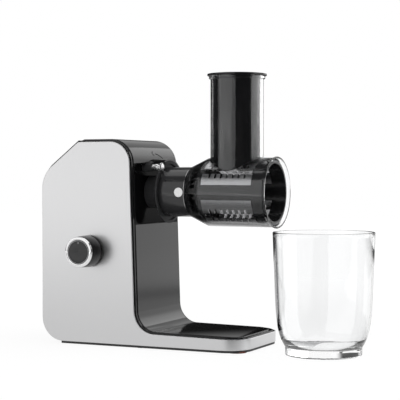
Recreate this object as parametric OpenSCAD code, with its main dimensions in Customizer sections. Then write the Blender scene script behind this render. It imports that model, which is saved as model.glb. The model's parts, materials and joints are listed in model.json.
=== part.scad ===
// Electric vegetable slicer: a gear motor in an upright column with a flat base, and a clear
// slicing attachment with a feed chute, a comb drum and a pusher, over a free-standing jug.
// The frame: +X runs from the column to the tip of the base, -Y is the side with the knob,
// and the origin lies on the table under the middle of the base.

/* [Body] */
// Length of the base, from the rear face to the tip
base_l = 260; // [250:2:290]
// Width over the steel wrap
body_w = 124; // [122:1:136]
// Height of the wrap's top edge above the table
wrap_top = 240; // [238:1:256]
// Height of the wrap's lower edge above the table
wrap_lift = 3.5; // [2.8:0.1:6]
// Thickness of the steel wrap
wrap_t = 1.8; // [1:0.2:2.4]
// Depth of the column at table height
column_l = 125; // [123:1:135]
// Lean of the column's front face, in degrees
front_lean = 1.85; // [0:0.05:2.5]
// Height of the deck line under the column's front face
deck_h = 18; // [16:0.5:24]
// Fall of the deck towards the tip, in degrees
deck_fall = 0.86; // [0:0.02:1]
// Distance from the rear face to the corner where the top chamfer starts
chamfer_run = 49.7; // [40:0.5:52]
// Slope of the top chamfer, in degrees
chamfer_a = 38; // [30:1:42]
// Radius of the column's top front corner
top_front_r = 26; // [16:1:30]
// Radius of the hollow between column and deck
notch_r = 26; // [16:1:32]
// Radius of the lower rear corner
rear_low_r = 28; // [16:1:30]
// Radius of the upper rear corner
rear_high_r = 34; // [20:1:36]
// Plan radius of the base's two tip corners
tip_r = 28; // [24:1:34]

/* [Casing] */
// Wall thickness of the moulded casings
wall = 2.5; // [2:0.1:3]
// Thickness of the casing's side walls behind the wrap
side_wall = 2.2; // [1.8:0.1:2.6]
// How far the casing stands above the wrap on top
proud_top = 3; // [2:0.2:4]
// How far the casing stands before the wrap at the front
proud_front = 2.4; // [1.6:0.2:3]
// How far the deck stands above the wrap
proud_deck = 1.8; // [1.2:0.2:2.4]
// How far the rear cover stands above the wrap on the chamfer
proud_chamfer = 2; // [1.2:0.2:2.6]
// Width of the stepped edge beside the wrap
edge_w = 5; // [4:0.5:8]
// Half width of the finger niche round the drive boss
niche_w = 54.5; // [50:0.5:55]
// Height of the niche's lower edge
niche_z0 = 144; // [140:1:146]
// Height of the niche's upper edge
niche_z1 = 213.6; // [212:0.2:215]
// Corner radius of the niche
niche_r = 9; // [5:1:12]
// Distance from the front face, at table height, back to the niche's floor
niche_back = 9.9; // [9:0.1:11]
// Thickness of the niche's floor
niche_floor_t = 4; // [3.6:0.1:4.4]
// Thickness of the bottom plate
plate_t = 2.5; // [1.8:0.1:3]
// Inset of the bottom plate from the wrap
plate_inset = 1; // [0.5:0.25:2]
// Foot diameter
foot_d = 24; // [18:1:26]
// Distance of the front feet from the tip
foot_front = 15; // [14:1:30]
// Distance of the rear feet from the rear face
foot_rear = 50; // [45:1:60]
// Distance of each foot from the middle plane
foot_y = 42; // [36:1:44]

/* [Drive] */
// Height of the drive axis
drive_z = 180.7; // [179:0.1:182]
// Face width of the first pair
first_w = 6; // [5:0.5:6.5]
// Face width of the second pair
second_w = 8; // [6:0.5:8.5]
// Face width of the third pair
third_w = 11; // [9:0.5:11.5]
// Motor can diameter
motor_d = 58; // [54:1:60]
// Motor can length
motor_l = 40; // [36:1:42]
// Drive coupling diameter
coupling_d = 26; // [24:0.5:27]
// Width across the flats of the drum's drive stub
stub_af = 15.8; // [14:0.2:17]
// Play round the drive stub in its socket
stub_play = 0.2; // [0.1:0.05:0.3]

/* [Mount ring] */
// Boss diameter
boss_d = 39; // [38:0.5:42]
// Bore through the boss
boss_bore = 33; // [30:0.5:34]
// Length of the boss from the niche's floor to the ring
boss_l = 20.5; // [18:0.5:22]
// Length of the mount ring
ring_l = 4.5; // [4:0.5:6]
// Width of the ring's rim
rim_t = 3.4; // [2.8:0.2:4]
// Release pin diameter
pin_d = 7; // [6:0.2:7.4]
// Release pin head diameter
pin_head_d = 11; // [10:0.2:11]
// Travel of the release pin
pin_travel = 4; // [3:0.5:5]
// Angle of the release pin above the horizontal, in degrees
pin_a = 56; // [52:1:60]

/* [Attachment] */
// Outer diameter of the bayonet collar
collar_d = 58.9; // [57:0.2:59.2]
// Visible length of the collar
neck_l = 32; // [30:0.5:35]
// Collar wall
collar_wall = 3; // [2.4:0.2:3.4]
// Length of the clear cone
cone_l = 22; // [20:0.5:24]
// Outer diameter of the clear barrel
barrel_d = 80.3; // [79.6:0.1:82]
// Length of the clear barrel
barrel_l = 80; // [76:1:86]
// Wall of the clear housing
clear_wall = 2.2; // [1.6:0.1:2.4]
// Outer diameter of the barrel's front rim
rim_d = 83; // [82:0.5:85]
// Distance from the barrel's rear edge to the chute's axis
chute_at = 33; // [31:1:44]
// Outer diameter of the chute
chute_d = 61.8; // [60:0.2:64]
// Height of the chute's top above the table
chute_top = 315.7; // [290:1:340]
// Outer diameter of the chute's rim
chute_rim_d = 65.5; // [64.5:0.5:68]
// Outer diameter of the pusher
pusher_d = 56; // [54:0.2:56.2]
// Pusher wall
pusher_wall = 2; // [1.6:0.1:2.6]
// Outer diameter of the pusher's flange
flange_d = 69.2; // [68:0.2:74]
// Thickness of the pusher's flange
flange_t = 2.3; // [1.8:0.1:3]

/* [Drum] */
// Outer diameter of the drum
drum_d = 71.6; // [69:0.2:72]
// Wall of the drum
drum_wall = 2.2; // [1.8:0.1:2.6]
// Length of the cutting windows
window_l = 62; // [56:1:64]
// Thickness of the cutting plates
blade_t = 0.8; // [0.6:0.1:1]
// Half angle of the plain ribs between windows, in degrees
rib_a = 14; // [12:1:18]
// Angle where each lower cutting plate ends, in degrees
gap_a0 = 41; // [38:1:43]
// Angle where each upper cutting plate begins, in degrees
gap_a1 = 54; // [50:1:56]
// Number of slots in each comb edge
comb_slots = 7; // [5:1:8]
// Width of each comb slot
slot_w = 2.9; // [2:0.1:3.4]
// Depth of each comb slot
slot_l = 6; // [4:0.5:7]

/* [Knob] */
// Distance of the knob's axis from the rear face
knob_at = 64.5; // [62:0.5:70]
// Height of the knob's axis
knob_z = 111.5; // [108:0.5:116]
// Knob diameter at the panel
knob_d = 37.4; // [34:0.2:40]
// Knob diameter at its front edge
knob_front_d = 35.8; // [33:0.2:37]
// Depth of the knob
knob_l = 22; // [18:0.5:26]
// Gap between the panel and the knob
knob_gap = 4; // [3:0.25:5]

/* [Jug] */
// Height of the jug
jug_h = 137.3; // [110:1:137.5]
// Outer diameter of the jug's rim
jug_d = 114.6; // [100:0.5:120]
// Wall of the jug
jug_wall = 1.7; // [1.2:0.1:2.4]
// Gap between the attachment and the jug's rim, seen from above
jug_gap = 4; // [2:0.5:20]
// Distance of the jug's axis from the middle plane, on the knob's side
jug_y = 15; // [0:1:25]

/* [Hidden] */
$fn = 96;

fit = 0.1;
seat_gap = 0.3;
arc_steps = 12;

rear_x = -base_l / 2;
tip_x = base_l / 2;
half_w = body_w / 2;
core_y = half_w - wrap_t;
room_y = core_y - side_wall;
pillar_y = room_y - 3.5;
front_foot = rear_x + column_l;
chamfer_x = rear_x + chamfer_run;
knob_x = rear_x + knob_at;
table_far = 400;

function front_x(z) = front_foot - z * tan(front_lean);
function deck_z(x) = deck_h - (x - front_foot) * tan(deck_fall);
function chamfer_z(x) = wrap_top - (chamfer_x - x) * tan(chamfer_a);

// An arc of radius r that rounds corner b between its neighbours a and c
function unit(v) = v / norm(v);
function side_of(u, v) = u[0] * v[1] - u[1] * v[0] > 0 ? 1 : -1;
function corner_arc(a, b, c, r) =
  r <= 0 ? [[b[0], b[1]]] :
  let (
    p = [b[0], b[1]],
    u = unit([a[0], a[1]] - p),
    v = unit([c[0], c[1]] - p),
    half = acos(u * v) / 2,
    centre = p + unit(u + v) * r / sin(half),
    start = p + u * r / tan(half) - centre,
    first = atan2(start[1], start[0]),
    sweep = (180 - 2 * half) * side_of(v, u)
  )
  [for (i = [0:arc_steps])
    centre + r * [cos(first + sweep * i / arc_steps), sin(first + sweep * i / arc_steps)]];
function rounded(corners) =
  let (n = len(corners))
  [for (i = [0:n - 1])
    each corner_arc(corners[(i + n - 1) % n], corners[i], corners[(i + 1) % n], corners[i][2])];

// The column and base seen from the side, each edge moved outwards by its own amount
function side_outline(top = 0, front = 0, deck = 0, chamfer = 0, rear = 0, low = 0) =
  let (
    top_z = wrap_top + top,
    rear_edge = rear_x - rear,
    lift = chamfer / cos(chamfer_a),
    foot_x = front_x(deck_h) + front,
    foot_z = deck_z(foot_x) + deck
  )
  rounded([
    [rear_edge, wrap_lift - low, max(rear_low_r + rear, 1)],
    [table_far, wrap_lift - low, 0],
    [table_far, deck_z(table_far) + deck, 0],
    [foot_x, foot_z, notch_r - deck],
    [front_x(top_z) + front, top_z, top_front_r + top],
    [chamfer_x + (top - lift) / tan(chamfer_a), top_z, 6],
    [rear_edge, chamfer_z(rear_edge) + lift, rear_high_r + chamfer]
  ]);

module from_side(half_width) {
  translate([0, half_width, 0])
    rotate([90, 0, 0])
      linear_extrude(2 * half_width) children();
}

// The base seen from above, open to the rear, with its edges drawn in by inset
module plan(inset, tip_inset = 0) {
  y = half_w - inset;
  end_x = tip_x - inset - tip_inset;
  linear_extrude(table_far)
    polygon(rounded([
      [rear_x - table_far, -y, 0],
      [end_x, -y, tip_r - inset],
      [end_x, y, tip_r - inset],
      [rear_x - table_far, y, 0]
    ]));
}

// The gear train: modules, teeth, and places seen along the drive axis as [y, z]
first_m = 1;
second_m = 1.25;
third_m = 1.5;
pinion_teeth = 12;
first_teeth = 60;
wheel_teeth = 48;
first_r = first_m * (pinion_teeth + first_teeth) / 2;
second_r = second_m * (pinion_teeth + wheel_teeth) / 2;
third_r = third_m * (pinion_teeth + wheel_teeth) / 2;
third_turn = -108;
second_turn = -15;
first_turn = 232;
function polar(r, a) = [r * cos(a), r * sin(a)];
output_at = [0, drive_z];
second_at = output_at + polar(third_r, third_turn);
first_at = second_at + polar(second_r, second_turn);
motor_at = first_at + polar(first_r, first_turn);

// Stations along the drive axis
floor_x = front_foot - niche_back;
floor_back = floor_x - niche_floor_t;
ring_x = floor_x + boss_l;
ring_front = ring_x + ring_l;
spring_room = 11;
cover_t = 3;
cover_front = floor_back - spring_room;
cover_back = cover_front - cover_t;
gear_gap = 1;
third_x = cover_back - 5.5 - third_w;
second_x = third_x - gear_gap - second_w;
first_x = second_x - gear_gap - first_w;
rear_plate_front = first_x - 1.5;
rear_plate_t = 3;
rear_plate_back = rear_plate_front - rear_plate_t;

cup_floor_t = 2.5;
lug_play = 0.55;
ring_gap = 4.15;
ring_d = collar_d + 2 * (ring_gap + rim_t);
brow_t = 2.5;
stub_r = 20.5;
stub_l = 14;
lug_t = 3;
lug_x = ring_front + 8;
collar_x = ring_x + cup_floor_t + seat_gap;
collar_front = ring_front + neck_l;
barrel_x = collar_front + cone_l;
barrel_front = barrel_x + barrel_l;
flare_l = 2;
lip_l = 2;
housing_front = barrel_front + flare_l + lip_l;
chute_x = barrel_x + chute_at;
pin_r = collar_d / 2 + seat_gap + pin_head_d / 2;

// Lies along the drive axis: the drawing's x, y and z become y, z and x
module along_x(at, x) {
  translate([x, at[0], at[1]]) rotate([90, 0, 90]) children();
}
module on_drive(x) {
  along_x(output_at, x) children();
}
module ring(h, outer_r, inner_r) {
  difference() {
    cylinder(h = h, r = outer_r);
    translate([0, 0, -1]) cylinder(h = h + 2, r = inner_r);
  }
}
// A sector from angle a0 to a1, as a wedge to keep or cut
module sector(r, h, a0, a1) {
  steps = 8;
  linear_extrude(h)
    polygon(concat([[0, 0]],
      [for (i = [0:steps]) polar(r / cos((a1 - a0) / steps / 2), a0 + (a1 - a0) * i / steps)]));
}
module hex_bar(af, h) {
  cylinder(h = h, r = af / 2 / cos(30), $fn = 6);
}

// Casing
pillar_d = 8;
pillar_bore = 3.4;
boss_in = 5;
gearbox_y0 = second_at[0] - second_m * wheel_teeth / 2 - 4;
gearbox_y1 = first_at[0] + first_m * first_teeth / 2 + 3.8;
gearbox_z0 = motor_at[1] - motor_d / 2 + 2;
gearbox_z1 = drive_z + third_m * wheel_teeth / 2 + 4.5;
boss_pts = [for (y = [gearbox_y0 + boss_in, gearbox_y1 - boss_in],
                 z = [gearbox_z0 + boss_in, gearbox_z1 - boss_in]) [y, z]];

module niche_block(grow, x0, x1) {
  z0 = niche_z0 - grow;
  z1 = niche_z1 + grow;
  y = niche_w + grow;
  r = niche_r + grow;
  translate([x0, 0, 0])
    rotate([90, 0, 90])
      linear_extrude(x1 - x0)
        polygon(rounded([[-y, z0, r], [y, z0, r], [y, z1, r], [-y, z1, r]]));
}

module steel_wrap() {
  color("silver")
    difference() {
      intersection() {
        from_side(half_w) polygon(side_outline());
        difference() {
          plan(0);
          translate([0, 0, -1]) plan(wrap_t);
        }
      }
      at_knob(-wrap_t - 1) cylinder(h = wrap_t + 2, r = bush_d / 2 + fit);
    }
}

step_w = edge_w * 0.3;
step_rise = 0.6;
seam_x = chamfer_x - 1;
low_seam_x = rear_x + rear_low_r + 6;
module rear_zone() {
  from_side(table_far)
    polygon([
      [rear_x - table_far, -table_far],
      [low_seam_x, -table_far],
      [low_seam_x, wrap_top / 2],
      [seam_x, wrap_top / 2],
      [seam_x, 2 * wrap_top],
      [rear_x - table_far, 2 * wrap_top]
    ]);
}
module casing_room(y) {
  from_side(y)
    polygon(side_outline(
      proud_top - wall, proud_front - wall, proud_deck - wall,
      proud_chamfer - wall, -wall, -wall));
}
module casing_mouth() {
  translate([low_seam_x, -room_y, 0])
    cube([tip_x - low_seam_x, 2 * room_y, wrap_lift + 2 * wall]);
}
module front_casing() {
  color([0.09, 0.09, 0.1])
    difference() {
      union() {
        difference() {
          union() {
            intersection() {
              from_side(core_y) polygon(side_outline());
              plan(wrap_t);
            }
            intersection() {
              from_side(core_y - step_w)
                polygon(side_outline(
                  proud_top * step_rise, proud_front * step_rise, proud_deck * step_rise));
              plan(wrap_t + step_w);
            }
            intersection() {
              from_side(core_y - edge_w)
                polygon(side_outline(proud_top, proud_front, proud_deck));
              plan(wrap_t + edge_w, edge_w / 4);
            }
          }
          intersection() {
            union() {
              casing_room(room_y);
              casing_mouth();
            }
            plan(wrap_t + side_wall);
          }
        }
        pin_guide(floor_back);
        intersection() {
          niche_block(side_wall, floor_back, front_foot);
          from_side(room_y) polygon(side_outline());
        }
        intersection() {
          on_drive(floor_back) cylinder(h = ring_front - floor_back, r = ring_d / 2 + brow_t);
          translate([floor_back, -half_w, drive_z + collar_d / 2])
            cube([ring_front - floor_back, body_w, ring_d]);
        }
        for (p = boss_pts)
          intersection() {
            along_x(p, cover_front) cylinder(h = front_foot - cover_front, d = pillar_d + 1);
            casing_solid();
          }
        for (y = [-1, 1]) {
          intersection() {
            translate([tip_x - base_screw_x, y * base_screw_y, wrap_lift])
              cylinder(h = deck_h, d = pillar_d);
            casing_solid();
          }
          translate([rear_x + side_screw_x, y * pillar_y, wrap_lift])
            cylinder(h = 40, d = pillar_d);
          for (z = cover_screw_z)
            translate([rear_x + wall, y * pillar_y, z])
              rotate([0, 90, 0]) cylinder(h = 22, d = pillar_d);
        }
      }
      difference() {
        niche_block(0, floor_x, front_foot + proud_front + 1);
        pin_guide(floor_x);
      }
      pin_axis(ring_x - guide_short)
        cylinder(h = ring_front - ring_x + guide_short + 1, r = pin_head_d / 2 + pin_room);
      on_drive(ring_x - seat_gap) cylinder(h = ring_l + 2, r = ring_d / 2 + seat_gap);
      rear_zone_cut();
      on_drive(floor_back - 1) cylinder(h = niche_floor_t + 2, r = boss_d / 2 + fit);
      pin_axis(floor_back - 1) cylinder(h = niche_floor_t + boss_l, r = pin_d / 2 + fit);
      for (p = boss_pts)
        along_x(p, cover_front - 1) cylinder(h = 13, d = pillar_bore);
      for (p = flange_pts)
        along_x(p, floor_back - 1) cylinder(h = niche_floor_t, d = flange_screw_d);
      for (y = [-1, 1]) {
        translate([tip_x - base_screw_x, y * base_screw_y, wrap_lift - 1])
          cylinder(h = 10, d = pillar_bore);
        translate([rear_x + side_screw_x, y * pillar_y, wrap_lift - 1])
          cylinder(h = 14, d = pillar_bore);
        for (z = cover_screw_z)
          translate([rear_x + wall - 1, y * pillar_y, z])
            rotate([0, 90, 0]) cylinder(h = 15, d = pillar_bore);
      }
      at_knob(-side_wall - wrap_t - 1) cylinder(h = side_wall + 1.5, r = bush_d / 2 + fit);
    }
}
module casing_solid() {
  from_side(room_y + 1) polygon(side_outline());
}
base_screw_x = 34;
base_screw_y = 40;
side_screw_x = 68;
guide_wall = 1.5;
guide_short = pin_travel + 4.5;
pin_room = 3;
cover_screw_z = [62, 168];
// The space that the rear cover takes out of the front casing
beyond = 20;
module rear_zone_cut() {
  difference() {
    intersection() {
      rear_zone();
      from_side(table_far)
        polygon(side_outline(beyond, beyond, beyond, beyond, beyond, beyond));
    }
    casing_room(table_far);
  }
}
flange_pts = [for (a = [45, 135, 225, 315]) output_at + polar(25, a)];
flange_screw_d = 2.6;

module pin_axis(x) {
  along_x(output_at + polar(pin_r, 180 - pin_a), x) children();
}
module pin_guide(x) {
  pin_axis(x) cylinder(h = ring_x - guide_short - x, r = pin_d / 2 + guide_wall);
}

module rear_cover() {
  color([0.1, 0.1, 0.11])
    difference() {
      intersection() {
        rear_zone();
        union() {
          from_side(core_y) polygon(side_outline());
          from_side(core_y - step_w)
            polygon(side_outline(top = proud_top, chamfer = proud_chamfer));
        }
      }
      casing_room(table_far);
      for (y = [-1, 1], z = cover_screw_z)
        translate([rear_x - 1, y * pillar_y, z])
          rotate([0, 90, 0]) screw_hole();
      for (i = [0:vent_count - 1])
        translate([rear_x - 1, (i - (vent_count - 1) / 2) * vent_pitch - vent_w / 2, vent_z])
          cube([wall + 2, vent_w, vent_h]);
      at_gland(-2) cylinder(h = wall + 4, r = gland_r);
    }
}
screw_d = 3.2;
screw_head_d = 6;
screw_head_t = 1.6;
module screw_hole() {
  cylinder(h = 10, d = screw_d + 2 * fit);
  cylinder(h = 1 + screw_head_t, d = screw_head_d + 4 * fit);
}
module screw(l) {
  cylinder(h = l, d = screw_d);
  cylinder(h = screw_head_t, d = screw_head_d);
}
vent_count = 12;
vent_pitch = 7;
vent_w = 3;
vent_z = 84;
vent_h = 40;
gland_r = 7;
gland_bore = 3.6;
gland_l = 12;
gland_lip = 1.5;
gland_y = 30;
gland_z = wrap_lift + rear_low_r + gland_r + gland_lip + 1;
module at_gland(x) {
  translate([rear_x + x, gland_y, gland_z]) rotate([0, 90, 0]) children();
}
module cord_gland() {
  color([0.12, 0.12, 0.12])
    at_gland(0)
      difference() {
        union() {
          translate([0, 0, -gland_lip]) cylinder(h = gland_lip, r = gland_r + gland_lip);
          cylinder(h = gland_l, r = gland_r - fit);
          translate([0, 0, wall + fit]) cylinder(h = 2, r = gland_r + 1);
        }
        translate([0, 0, -3]) cylinder(h = gland_l + 4, r = gland_bore);
      }
}

plate_z = wrap_lift - plate_t;
pocket = 1.2;
foot_spots = [
  [tip_x - foot_front, -foot_y], [tip_x - foot_front, foot_y],
  [rear_x + foot_rear, -foot_y], [rear_x + foot_rear, foot_y]
];
base_screws = [
  [tip_x - base_screw_x, -base_screw_y], [tip_x - base_screw_x, base_screw_y],
  [rear_x + side_screw_x, -pillar_y], [rear_x + side_screw_x, pillar_y]
];
module bottom_plate() {
  color([0.07, 0.07, 0.07])
    difference() {
      union() {
        intersection() {
          plan(plate_inset);
          translate([low_seam_x - 8, -half_w, plate_z]) cube([base_l, body_w, plate_t]);
        }
        translate([-2.5, 4 - half_w, plate_z - 0.6]) cube([5, 3, 1]);
      }
      for (p = foot_spots)
        translate([p[0], p[1], -1])
          cylinder(h = 1 + plate_z + pocket, r = foot_d / 2 + fit);
      for (p = base_screws)
        translate([p[0], p[1], plate_z - 1]) screw_hole();
      for (y = [-1, 1])
        translate([cradle_mid, y * cradle_screw_y, plate_z - 1]) screw_hole();
    }
}
module foot(i) {
  color([0.5, 0.3, 0.25])
    translate([foot_spots[i][0], foot_spots[i][1], 0])
      cylinder(h = plate_z + pocket, d = foot_d);
}
module foot_front_near() { foot(0); }
module foot_front_far() { foot(1); }
module foot_rear_near() { foot(2); }
module foot_rear_far() { foot(3); }
module casing_screws() {
  color("gray") {
    for (p = base_screws)
      translate([p[0], p[1], plate_z]) screw(11);
    for (y = [-1, 1], z = cover_screw_z)
      translate([rear_x, y * pillar_y, z]) rotate([0, 90, 0]) screw(14);
    for (y = [-1, 1])
      translate([cradle_mid, y * cradle_screw_y, plate_z]) screw(plate_t + cradle_foot_t);
  }
}

// Mount ring and release pin
flange_r = 30;
flange_back_t = 3;
rim_taper = 4;
rim_edge = 1.2;
lug_l = 4;
lug_turn = 85;
lug_span = 40;
lip_turn = 92;
module thirds(turn) {
  for (i = [0:2]) rotate([0, 0, turn + 120 * i]) children();
}
module mount_flange() {
  color([0.1, 0.1, 0.1])
    difference() {
      union() {
        on_drive(0)
          rotate_extrude()
            polygon([
              [boss_bore / 2, floor_back - flange_back_t], [flange_r, floor_back - flange_back_t],
              [flange_r, floor_back], [boss_d / 2, floor_back], [boss_d / 2, ring_x],
              [ring_d / 2 - rim_taper, ring_x], [ring_d / 2, ring_front - rim_edge],
              [ring_d / 2, ring_front], [ring_d / 2 - rim_t, ring_front],
              [ring_d / 2 - rim_t, ring_x + cup_floor_t], [stub_r, ring_x + cup_floor_t],
              [stub_r, ring_x + cup_floor_t + stub_l], [boss_bore / 2, ring_x + cup_floor_t + stub_l]
            ]);
        on_drive(lug_x + lug_play / 2)
          intersection() {
            ring(lug_t, stub_r + lug_l, stub_r - 1);
            thirds(lip_turn) sector(ring_d, lug_t + 1, -lug_span / 2, lug_span / 2);
          }
      }
      pin_axis(ring_x - 1) cylinder(h = ring_l + 2, r = pin_head_d / 2 + pin_room);
      for (p = flange_pts)
        along_x(p, floor_back - flange_back_t - 1)
          cylinder(h = flange_back_t + 2, d = flange_screw_d + 0.4);
    }
}
module flange_screws() {
  color("gray")
    for (p = flange_pts)
      along_x(p, floor_back - flange_back_t - 1.8) {
        cylinder(h = 1.8, d = 5);
        cylinder(h = flange_back_t + 1.8 + 2.6, d = flange_screw_d - fit);
      }
}
pin_collar_t = 1.8;
pin_head_t = 3.6;
pin_head_edge = 1.4;
module release_pin() {
  head_x = ring_front - pin_head_t - pin_head_edge;
  tail_x = floor_back - pin_collar_t - 0.2;
  color("gainsboro") {
    pin_axis(tail_x) cylinder(h = head_x - tail_x + 1, d = pin_d);
    pin_axis(tail_x) cylinder(h = pin_collar_t, d = pin_d + 2);
    pin_axis(head_x) cylinder(h = pin_head_t, d = pin_head_d);
    pin_axis(head_x + pin_head_t)
      cylinder(h = pin_head_edge, r1 = pin_head_d / 2, r2 = pin_head_d / 2 - 1.2);
  }
}

// A round wire swept along points, with sides corners to each ring
function ring_frame(pts, i) =
  let (
    a = pts[max(i - 1, 0)],
    b = pts[min(i + 1, len(pts) - 1)],
    t = unit(b - a),
    up = abs(t[0]) < 0.9 ? [1, 0, 0] : [0, 1, 0],
    u = unit(cross(t, up))
  )
  [u, cross(t, u)];
module wire(pts, r, sides = 8) {
  n = len(pts);
  points = [for (i = [0:n - 1])
    let (f = ring_frame(pts, i))
    for (k = [0:sides - 1])
      pts[i] + r * (f[0] * cos(360 * k / sides) + f[1] * sin(360 * k / sides))];
  faces = concat(
    [[for (k = [0:sides - 1]) k]],
    [for (i = [0:n - 2], k = [0:sides - 1])
      [i * sides + k, (i + 1) * sides + k,
       (i + 1) * sides + (k + 1) % sides, i * sides + (k + 1) % sides]],
    [[for (k = [sides - 1:-1:0]) (n - 1) * sides + k]]);
  polyhedron(points, faces, convexity = 6);
}
spring_turns = 4;
spring_wire = 0.5;
module pin_spring() {
  x0 = cover_front + spring_wire + 0.1;
  x1 = floor_back - pin_collar_t - 0.3 - spring_wire;
  steps = spring_turns * 14;
  color("silver")
    pin_axis(0)
      wire([for (i = [0:steps])
        concat(polar(pin_d / 2 - 0.4, 360 * spring_turns * i / steps),
               [x0 + (x1 - x0) * i / steps])], spring_wire, 6);
}
seal_l = 4;
seal_in = 8;
module shaft_seal() {
  color([0.2, 0.2, 0.2])
    on_drive(floor_x + seal_in) ring(seal_l, boss_bore / 2, coupling_d / 2 + fit);
}

// Knob and selector switch
bush_d = 10;
knob_shaft_d = 6;
module at_knob(out) {
  translate([knob_x, -half_w - out, knob_z]) rotate([90, 0, 0]) children();
}
panel_t = wrap_t + side_wall;
knob_end = knob_gap + knob_l;
knob_rim = 3.6;
knob_ring_l = 3;
knob_face_in = 1.6;
knob_face_t = 0.9;
pointer_w = 1;
module knob_bezel() {
  color([0.08, 0.08, 0.08])
    at_knob(0) ring(knob_gap - 0.5, knob_d / 2 - 2, 8.5);
}
module knob_body() {
  color([0.13, 0.13, 0.14])
    at_knob(knob_gap)
      difference() {
        union() {
          difference() {
            cylinder(h = knob_l - knob_ring_l, r1 = knob_d / 2, r2 = knob_front_d / 2);
            translate([0, 0, -1])
              cylinder(h = knob_l - knob_ring_l - 2, r = knob_front_d / 2 - knob_rim);
          }
          cylinder(h = knob_l - knob_ring_l, d = knob_shaft_d + 5);
          translate([0, 0, knob_l - knob_ring_l - 1])
            cylinder(h = 1 + knob_ring_l - knob_face_in, r = knob_front_d / 2 - knob_rim);
        }
        translate([0, 0, -1])
          cylinder(h = knob_l - knob_ring_l - 3, d = knob_shaft_d);
      }
}
module knob_ring() {
  color("gainsboro")
    at_knob(knob_end - knob_ring_l)
      rotate_extrude()
        difference() {
          translate([knob_front_d / 2 - knob_rim, 0]) square([knob_rim, knob_ring_l]);
          translate([knob_front_d / 2, knob_ring_l]) rotate(45) square(1.6, center = true);
        }
}
module knob_face() {
  face_r = knob_front_d / 2 - knob_rim - fit;
  color([0.2, 0.2, 0.2])
    at_knob(knob_end - knob_face_in) {
      cylinder(h = knob_face_t, r = face_r);
      translate([-pointer_w / 2, face_r - 5, knob_face_t]) cube([pointer_w, 4, 0.2]);
    }
}
module switch_shaft() {
  color("gray")
    at_knob(-panel_t - 4) cylinder(h = panel_t + 4 + knob_gap + knob_l - 7, d = knob_shaft_d);
}
switch_w = 20;
bush_out = 2.2;
nut_af = 14;
nut_t = 2;
switch_l = 9;
module selector_switch() {
  color([0.15, 0.15, 0.16])
    at_knob(0) {
      difference() {
        union() {
          translate([-switch_w / 2, -switch_w / 2, -panel_t - switch_l])
            cube([switch_w, switch_w, switch_l]);
          translate([0, 0, -panel_t - 1]) cylinder(h = panel_t + 1 + bush_out, d = bush_d);
        }
        translate([0, 0, -panel_t - 4]) cylinder(h = panel_t + 8, d = knob_shaft_d + fit);
      }
      difference() {
        hex_bar(nut_af, nut_t);
        translate([0, 0, -1]) cylinder(h = nut_t + 2, d = bush_d);
      }
    }
}

// Gears: flanks on an involute of a 25 degree rack, thinned for play
pressure_a = 25;
gear_play = 0.05;
function involute(a) = tan(a) * 180 / PI - a;
function half_tooth(r, m, teeth) =
  let (pitch_r = m * teeth / 2, base_r = pitch_r * cos(pressure_a))
  90 / teeth - gear_play / pitch_r * 180 / PI + involute(pressure_a)
    - involute(acos(min(1, base_r / r)));
function gear_outline(m, teeth) =
  let (
    pitch_r = m * teeth / 2,
    root = pitch_r - m,
    tip = pitch_r + 0.8 * m,
    low = max(root + 0.01, pitch_r * cos(pressure_a)),
    flank = [root, for (k = [0:3]) low + (tip - low) * k / 3]
  )
  [for (i = [0:teeth - 1])
    each concat(
      [for (r = flank) polar(r, 360 * i / teeth - half_tooth(r, m, teeth))],
      [for (k = [4:-1:0]) polar(flank[k], 360 * i / teeth + half_tooth(flank[k], m, teeth))])];
module gear(m, teeth, w, af, turn) {
  difference() {
    rotate([0, 0, turn]) linear_extrude(w) polygon(gear_outline(m, teeth));
    translate([0, 0, -1]) hex_bar(af, w + 2);
  }
}
// The turn that puts gear b in mesh with gear a, which stands at turn_a
function in_mesh(to_b, turn_a, teeth_a, teeth_b) =
  to_b + 180 - (0.5 - (to_b - turn_a) * teeth_a / 360) * 360 / teeth_b;
motor_turn = 0;
first_wheel_turn = in_mesh(first_turn + 180, motor_turn, pinion_teeth, first_teeth);
second_wheel_turn = in_mesh(second_turn + 180, 0, pinion_teeth, wheel_teeth);
output_wheel_turn = in_mesh(third_turn + 180, 0, pinion_teeth, wheel_teeth);
first_af = 8;
second_af = 9;
output_af = 12;
motor_af = 5;
end_af = 10;
module motor_pinion() {
  color("gray")
    along_x(motor_at, first_x - 0.5)
      gear(first_m, pinion_teeth, first_w + 1, motor_af, motor_turn);
}
module first_wheel() {
  color("ivory")
    along_x(first_at, first_x)
      gear(first_m, first_teeth, first_w, first_af, first_wheel_turn);
}
module second_pinion() {
  color("gray")
    along_x(first_at, first_x + first_w)
      gear(second_m, pinion_teeth, gear_gap + second_w, first_af, 0);
}
module second_wheel() {
  color("ivory")
    along_x(second_at, second_x)
      gear(second_m, wheel_teeth, second_w, second_af, second_wheel_turn);
}
module third_pinion() {
  color("gray")
    along_x(second_at, second_x + second_w)
      gear(third_m, pinion_teeth, gear_gap + third_w, second_af, 0);
}
module output_wheel() {
  color("gray")
    along_x(output_at, third_x)
      gear(third_m, wheel_teeth, third_w, output_af, output_wheel_turn);
}
journal_d = 6;
axle_play = 0.04;
module first_axle() {
  color("silver") {
    along_x(first_at, rear_plate_back)
      cylinder(h = cover_front - rear_plate_back, d = journal_d);
    along_x(first_at, rear_plate_front + seat_gap)
      hex_bar(first_af, second_x + second_w - rear_plate_front - seat_gap);
  }
}
module second_axle() {
  color("silver") {
    along_x(second_at, rear_plate_back)
      cylinder(h = cover_front - rear_plate_back, d = journal_d);
    along_x(second_at, rear_plate_front + seat_gap)
      cylinder(h = second_x - rear_plate_front - seat_gap, d = second_af);
    along_x(second_at, second_x) hex_bar(second_af, third_x + third_w - second_x);
  }
}
rear_journal_d = 8;
front_journal_d = 12;
rear_bearing_d = 18;
front_bearing_d = 24;
bearing_l = 7;
socket_l = 14;
coupling_x = cover_front + 4;
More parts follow.
